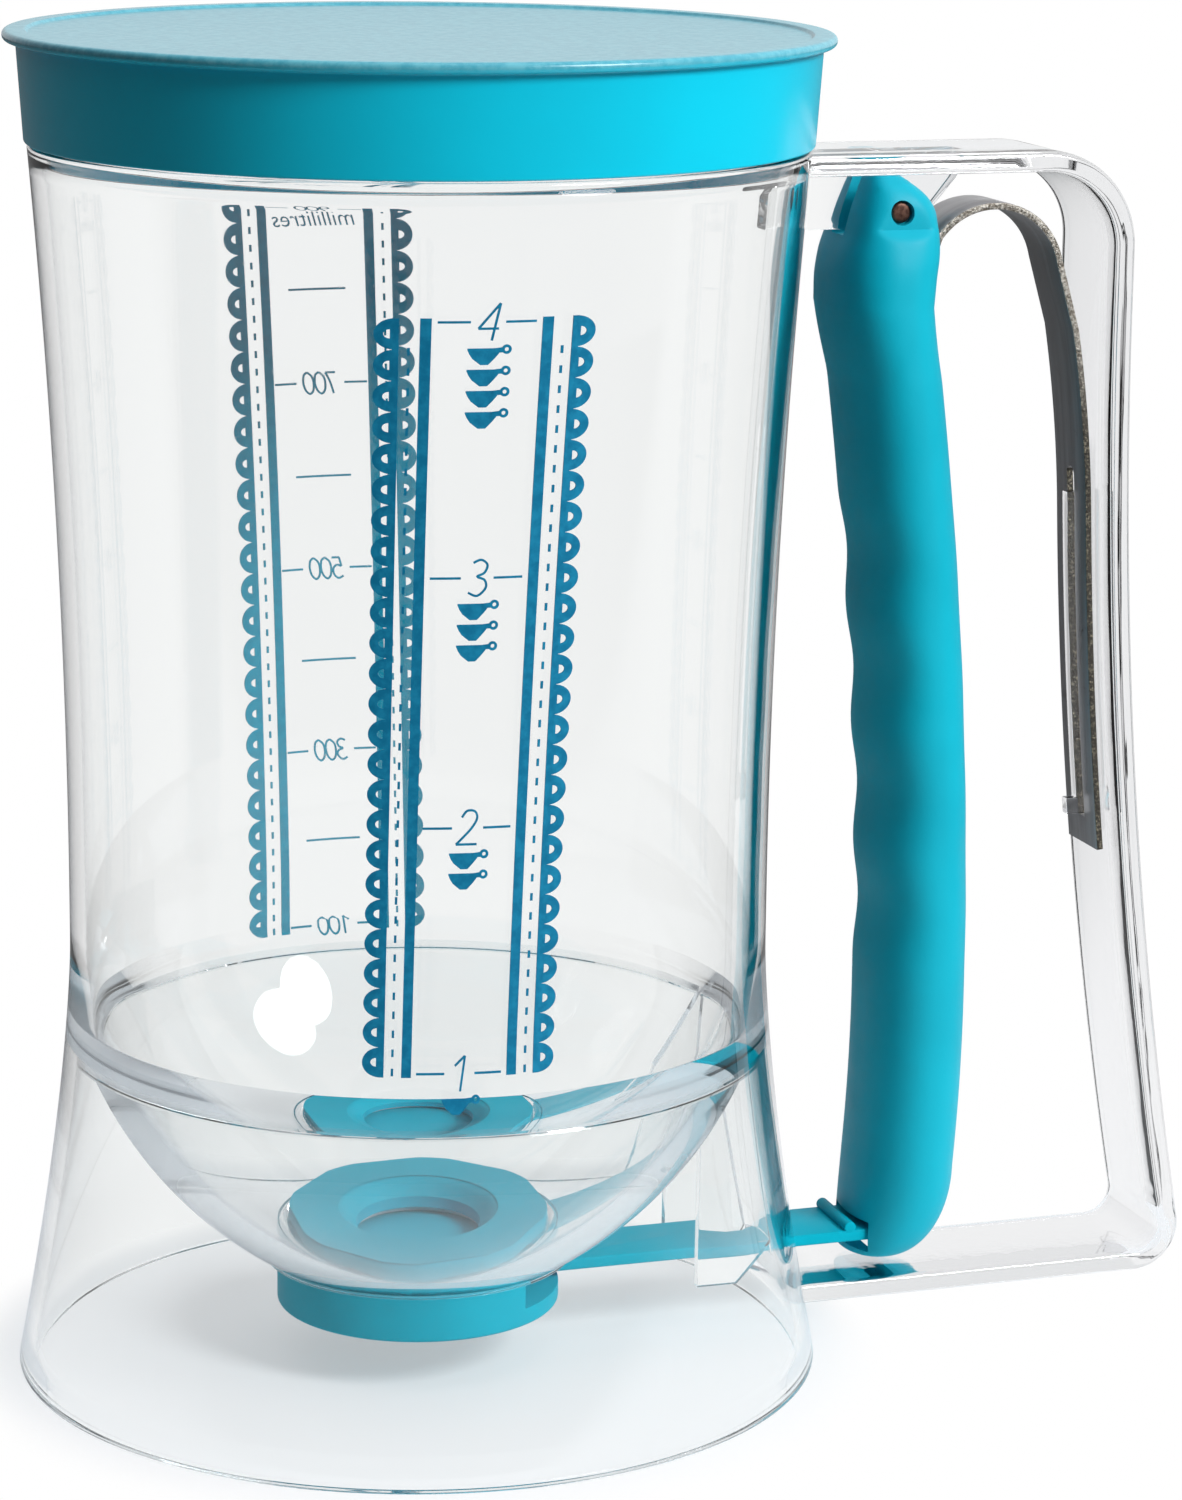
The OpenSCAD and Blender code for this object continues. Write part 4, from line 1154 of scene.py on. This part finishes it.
class Print:
    """Flat ink, drawn in millimetres across and up from a scale's middle line, then laid on the jug."""

    def __init__(self):
        self.verts = []
        self.faces = []

    def strip(self, left, right, closed=False):
        """Ink between two lines that have the same number of points."""
        start = len(self.verts)
        for a, b in zip(left, right):
            self.verts += [(a[0], 0, a[1]), (b[0], 0, b[1]), (b[0], INK_T, b[1]), (a[0], INK_T, a[1])]
        n = len(left)
        for k in range(n if closed else n - 1):
            a, b = start + 4 * k, start + 4 * ((k + 1) % n)
            self.faces += [(a + i, a + (i + 1) % 4, b + (i + 1) % 4, b + i) for i in range(4)]
        if not closed:
            last = start + 4 * (n - 1)
            self.faces += [(start + 3, start + 2, start + 1, start), (last, last + 1, last + 2, last + 3)]

    def bar(self, left, right, low_z, high_z):
        """An upright bar."""
        zs = spread(low_z, high_z, 2)
        self.strip([(left, z) for z in zs], [(right, z) for z in zs])

    def dash(self, x, z, width):
        """A level line of one pen's width."""
        xs = spread(x - width / 2, x + width / 2, 1)
        self.strip([(v, z - PEN / 2) for v in xs], [(v, z + PEN / 2) for v in xs])

    def stroke(self, points):
        """A pen's stroke through points."""
        line = curve_through(points)
        sides = normals_of(line)
        self.strip([p + n * PEN / 2 for p, n in zip(line, sides)],
                   [p - n * PEN / 2 for p, n in zip(line, sides)])

    def number(self, text, x, z, height, gap=0.58, slant=0.12):
        """Slanted numerals with their middle at x and z."""
        for k, digit in enumerate(text):
            left = x + (k - (len(text) - 1) / 2) * gap * height
            for points in NUMERALS[digit]:
                self.stroke([(left + (px + slant * pz) * height, z + pz * height) for px, pz in points])

    def cup(self, x, z):
        """A little measuring cup with its rim's middle at x and z."""
        for left, right in ((CUP_LEFT, CUP_RIGHT), (CUP_ARM_TOP, CUP_ARM_LOW)):
            self.strip([(x + a, z + b) for a, b in left], [(x + a, z + b) for a, b in right])
        centre = (x + CUP_RING[0], z + CUP_RING[1])
        outer, inner = [arc(centre, r, 0, 360, 20)[:-1] for r in CUP_RING_R]
        self.strip(outer, inner, closed=True)

    def mesh(self):
        """The ink as a flat piece of its own."""
        return new_object("ink", self.verts, self.faces)

    def take(self, piece):
        """Adds another flat piece of ink, and removes its object."""
        start = len(self.verts)
        self.verts += [tuple(v.co / MM) for v in piece.data.vertices]
        self.faces += [tuple(start + i for i in face.vertices) for face in piece.data.polygons]
        bpy.data.objects.remove(piece)

    def wrap(self, name, zs, middle, reach, half_w, ink, node):
        """Lays the ink on the wall, from its middle line's and half its width's angles at both zs."""
        verts = []
        for x, y, z in self.verts:
            t = (z - zs[0]) / (zs[1] - zs[0])
            turn = reach[0] + (reach[1] - reach[0]) * t
            angle = math.radians(middle[0] + (middle[1] - middle[0]) * t + x / half_w * turn)
            r = wall_r(z) + INK_GAP + y
            verts.append((r * math.cos(angle), r * math.sin(angle), z))
        finish_piece(new_object(name, verts, self.faces), [ink], "jug_body", "print_ink", node)


def row_tree():
    """Copies of a piece, one above the other."""
    tree = bpy.data.node_groups.new("row", "GeometryNodeTree")
    inputs = (("Piece", "Geometry"), ("Copies", "Int"), ("Pitch", "Float"), ("Ink", "Material"))
    for name, kind in inputs:
        tree.interface.new_socket(name, in_out="INPUT", socket_type="NodeSocket" + kind)
    tree.interface.new_socket("Row", in_out="OUTPUT", socket_type="NodeSocketGeometry")
    inlet = tree.nodes.new("NodeGroupInput")
    outlet = tree.nodes.new("NodeGroupOutput")
    step = tree.nodes.new("ShaderNodeCombineXYZ")
    line = tree.nodes.new("GeometryNodeMeshLine")
    copies = tree.nodes.new("GeometryNodeInstanceOnPoints")
    real = tree.nodes.new("GeometryNodeRealizeInstances")
    inked = tree.nodes.new("GeometryNodeSetMaterial")
    for source, output, target, socket in (
            (inlet, "Pitch", step, "Z"), (step, "Vector", line, "Offset"), (inlet, "Copies", line, "Count"),
            (line, "Mesh", copies, "Points"), (inlet, "Piece", copies, "Instance"),
            (copies, "Instances", real, "Geometry"), (real, "Geometry", inked, "Geometry"),
            (inlet, "Ink", inked, "Material"), (inked, "Geometry", outlet, "Row")):
        tree.links.new(source.outputs[output], target.inputs[socket])
    return tree


ROW = row_tree()


def row_of(piece, copies, pitch):
    """The piece as an upright row of copies, pitch millimetres apart."""
    modifier = piece.modifiers.new("row", "NODES")
    modifier.node_group = ROW
    sockets = {item.name: item.identifier for item in ROW.interface.items_tree if item.in_out == "INPUT"}
    modifier[sockets["Copies"]] = copies
    modifier[sockets["Pitch"]] = pitch * MM
    modifier[sockets["Ink"]] = CUP_INK
    mesh = evaluated_mesh(piece)
    piece.modifiers.clear()
    piece.data = mesh
    return piece


def lace_loop(side, edge, z, pitch):
    """One loop of the lace border: a thick half ring with its flat side on the band, and a small hole."""
    root = edge - LOOP_REACH - LOOP_ROOT
    hole = edge - LOOP_REACH + LOOP_HOLE_IN
    half_ring = arc((0, 0), 1, -90, 90, 16) + [(0, 1 - t / 4) for t in range(1, 8)]
    outline = [(root + (edge - root) * x, z + pitch / 2 * y * LOOP_FILL) for x, y in half_ring]
    opening = [(hole + LOOP_HOLE[0] * x, z + LOOP_HOLE[1] * y) for x, y in half_ring]
    loop = Print()
    loop.strip([(side * x, y) for x, y in outline], [(side * x, y) for x, y in opening], closed=True)
    return loop.mesh()


def one_stitch(x, z):
    """A stitch with its foot at x and z."""
    ends = (z, z + STITCH_H)
    stitch = Print()
    stitch.strip([(x - STITCH_W / 2, end) for end in ends], [(x + STITCH_W / 2, end) for end in ends])
    return stitch.mesh()


def draw_border(ink, side, half_w, low_z, high_z, loops):
    """Lace, band, stitches and bar along one side of a scale."""
    pitch = (high_z - low_z) / loops
    ink.take(row_of(lace_loop(side, half_w, low_z + pitch / 2, pitch), loops, pitch))
    band_edge = half_w - LOOP_REACH
    ink.bar(side * (band_edge - LACE_BAND_W), side * band_edge, low_z, high_z)
    bar_in = half_w - BORDER_W
    ink.bar(side * bar_in, side * (bar_in + BORDER_BAR_W), low_z, high_z)
    stitch = one_stitch(side * (bar_in + STITCH_IN), low_z + STITCH_RISE)
    ink.take(row_of(stitch, int((high_z - low_z) / STITCH_PITCH), STITCH_PITCH))


def word(text, size, x, z):
    """A short word of ink, flat, with its middle at x and z."""
    slant, thinning = 0.25, 0.008
    curve = bpy.data.curves.new("word", "FONT")
    curve.body = text
    curve.size = size * MM
    curve.shear = slant
    curve.offset = -thinning * size * MM
    curve.resolution_u = 3
    curve.align_x = curve.align_y = "CENTER"
    holder = put("word", curve)
    mesh = evaluated_mesh(holder)
    bpy.data.objects.remove(holder)
    letters = bmesh.new()
    letters.from_mesh(mesh)
    grown = bmesh.ops.extrude_face_region(letters, geom=letters.faces[:])
    for v in grown["geom"]:
        if isinstance(v, bmesh.types.BMVert):
            v.co.z += INK_T * MM
    upright = Matrix(((1, 0, 0, x * MM), (0, 0, 1, 0), (0, 1, 0, z * MM), (0, 0, 0, 1)))
    bmesh.ops.transform(letters, matrix=upright, verts=letters.verts)
    bmesh.ops.recalc_face_normals(letters, faces=letters.faces)
    letters.to_mesh(mesh)
    letters.free()
    return put("word", mesh)


def make_cup_scale():
    """A mark, a numeral and as many little cups for each cup of volume."""
    half_w, loops = 13.8, 25
    low_z, high_z = CUP_MARKS[0][0] - 0.5, CUP_MARKS[-1][0] + 0.5
    middle, reach = (-99.8, -96.5), (14.9, 16.0)
    numeral_h, numeral_x, dash_x, cup_x, cup_drop, cup_pitch = 4.8, 0.2, 4.1, -0.3, 3.4, 2.75
    ink = Print()
    for side in (-1, 1):
        draw_border(ink, side, half_w, low_z, high_z, loops)
    for z, cups in CUP_MARKS:
        ink.number(str(cups), numeral_x, z, numeral_h)
        ink.dash(-dash_x, z, 4.0)
        ink.dash(dash_x, z, 3.8)
        for k in range(cups):
            ink.cup(cup_x, z - cup_drop - cup_pitch * k)
    ink.wrap("cup_scale", (low_z, high_z), middle, reach, half_w, CUP_INK, "cup_scale_print")


def make_ml_scale():
    """A numeral between two dashes at every second mark, and a longer dash at the others."""
    half_w, loops, marks = 14.3, 24, 9
    low_z, high_z = ML_LOW_Z - 1, ML_LOW_Z + (marks - 1) * ML_PITCH + 1
    middle, reach = (89.5, 92.15), (16.65, 16.65)
    numeral_h, dash_x, dash_w, long_dash_w, word_h, word_drop = 3.2, 5.4, 3.4, 8.6, 3.4, 4.6
    ink = Print()
    for side in (-1, 1):
        draw_border(ink, side, half_w, low_z, high_z, loops)
    for k in range(marks):
        z = ML_LOW_Z + ML_PITCH * k
        if k % 2:
            ink.dash(0, z, long_dash_w)
            continue
        ink.number(str(100 + 100 * k), 0, z, numeral_h, 0.56)
        ink.dash(-dash_x, z, dash_w)
        ink.dash(dash_x, z, dash_w)
    ink.take(word("millilitres", word_h, 0, high_z - word_drop))
    ink.wrap("ml_scale", (low_z, high_z), middle, reach, half_w, ML_INK, "ml_scale_print")


make_clear_moulding()
make_lid()
make_trigger()
make_pin()
make_spring()
make_seat_ring()
make_valve_body()
make_gate_slide()
make_seal()
make_cup_scale()
make_ml_scale()


# ---------------------------------------------------------------- floor, light and camera
CAMERA_SPOT = Vector((-175.9, -613.6, 235.9))
CAMERA_TURN = math.radians(18.17)
CAMERA_DROP = math.radians(12.97)
CAMERA_ROLL = math.radians(0.63)
CAMERA_LENS = 111.456
BACKWARD = (math.sin(CAMERA_TURN), math.cos(CAMERA_TURN), 0)
RIGHTWARD = (math.cos(CAMERA_TURN), -math.sin(CAMERA_TURN), 0)


def make_camera():
    """Camera in front and to the left, a little above the lid."""
    forward = Vector((math.sin(CAMERA_TURN) * math.cos(CAMERA_DROP),
                      math.cos(CAMERA_TURN) * math.cos(CAMERA_DROP), -math.sin(CAMERA_DROP)))
    level = Vector(RIGHTWARD)
    upright = level.cross(forward)
    right = math.cos(CAMERA_ROLL) * level + math.sin(CAMERA_ROLL) * upright
    up = -math.sin(CAMERA_ROLL) * level + math.cos(CAMERA_ROLL) * upright
    data = bpy.data.cameras.new("camera")
    data.sensor_width = 36
    data.lens = CAMERA_LENS
    data.clip_start = 0.02
    camera = put("camera", data)
    turn = Matrix((right, up, -forward)).transposed().to_4x4()
    camera.matrix_world = Matrix.Translation(CAMERA_SPOT * MM) @ turn
    bpy.context.scene.camera = camera


def make_floor():
    """A floor that keeps the shadow under the object and fades to plain white round it.

    Its paper is pale near the object and dark far off, so that little light comes up from there. The
    camera sees the plain white, glass shows half of it in front of the object, and a mirror little.
    """
    reach, sides, drop = 3000.0, 96, 0.02
    fade_start, fade_stop = BASE_R - 0.5, 68.0
    near_paper, far_paper = (0.93, 0.935, 0.94, 1), (0.08, 0.08, 0.08, 1)
    paper_middle = (0.06, -0.03, 0)
    ring = arc((0, 0), reach, 0, 360, sides)[:-1]
    mesh = bpy.data.meshes.new("floor")
    mesh.from_pydata([Vector((x, y, -drop)) * MM for x, y in ring], [], [tuple(range(sides))])
    finish = Finish(bpy.data.materials.new("floor"))
    spot = finish.node("TexCoord", output="Object")
    away = finish.node("VectorMath", {0: spot}, output="Value", operation="LENGTH") * (1 / MM)
    seen, through, mirrored = finish.rays("Camera", "Transmission", "Glossy")
    depth = finish.toward(spot, BACKWARD) * (1 / MM)
    direct = seen.at_least(through * (depth.between(-160, -60) * 0.5 + 0.5)).at_least(mirrored * 0.12)
    aside = finish.node("VectorMath", {0: spot, 1: paper_middle}, output="Value", operation="DISTANCE")
    far = (aside * (1 / MM)).between(110, 260)
    paper = finish.node("BsdfDiffuse", {"Color": finish.blend(far, near_paper, far_paper)})
    white = finish.node("Emission", {"Color": (1, 1, 1, 1), "Strength": 1.0})
    plain = (away.between(fade_start, fade_stop) * 0.55 + 0.45) * direct
    mesh.materials.append(finish.output(finish.node("MixShader", {0: plain, 1: paper, 2: white})))
    put("floor", mesh)


def make_world():
    """A white studio behind the object: grey in front of it for what mirrors it, brighter to the right."""
    bpy.context.scene.world = bpy.data.worlds.new("studio")
    finish = Finish(bpy.context.scene.world)
    way = finish.node("TexCoord", output="Generated")
    back, right = finish.toward(way, BACKWARD), finish.toward(way, RIGHTWARD)
    mirrored = (back.between(-0.3, 0.4) * (right.between(-0.9, -0.3) * 0.55 + 0.2)
                + right.between(0, 0.9) * 0.2 + 0.1)
    through = back.between(-0.6, 0.1) * 0.4 + 0.6
    above = finish.node("SeparateXYZ", {"Vector": way}, output="Z").between(0.4, 1.0)
    lit = back.between(0, 0.8) * 0.45 + right.between(0.1, 0.95) * 0.6 + above * 0.55 + 0.05
    camera, bent, soft = finish.rays("Camera", "Transmission", "Diffuse")
    strength = mirrored * (1 - bent) * (1 - soft) + through * bent + lit * soft
    strength = strength.at_most(1.0).at_least(camera)
    tint = finish.blend(strength.between(0.3, 0.9), (0.9, 0.9, 1.0, 1.0), (1, 1, 1, 1))
    finish.output(finish.node("Background", {"Color": tint, "Strength": strength}), "World")


def add_softbox(name, turn, rise, width, power, distance=900):
    """A round softbox that faces the jug's middle, turn degrees round from the camera's side."""
    angle = math.radians(turn) - math.pi / 2 - CAMERA_TURN
    rise = math.radians(rise)
    middle = Vector((0.02, 0, 0.09))
    away = Vector((math.cos(angle) * math.cos(rise), math.sin(angle) * math.cos(rise), math.sin(rise)))
    spot = middle + distance * MM * away
    data = bpy.data.lights.new(name, "AREA")
    data.shape = "ELLIPSE"
    data.size = data.size_y = width * MM
    data.energy = power
    lamp = put(name, data)
    lamp.location = spot
    lamp.rotation_euler = (middle - spot).to_track_quat("-Z", "Y").to_euler()


make_camera()
make_floor()
make_world()
add_softbox("key", turn=52, rise=33, width=310, power=7)
add_softbox("top", turn=20, rise=75, width=500, power=1.0)
bpy.context.scene.view_settings.view_transform = "Standard"
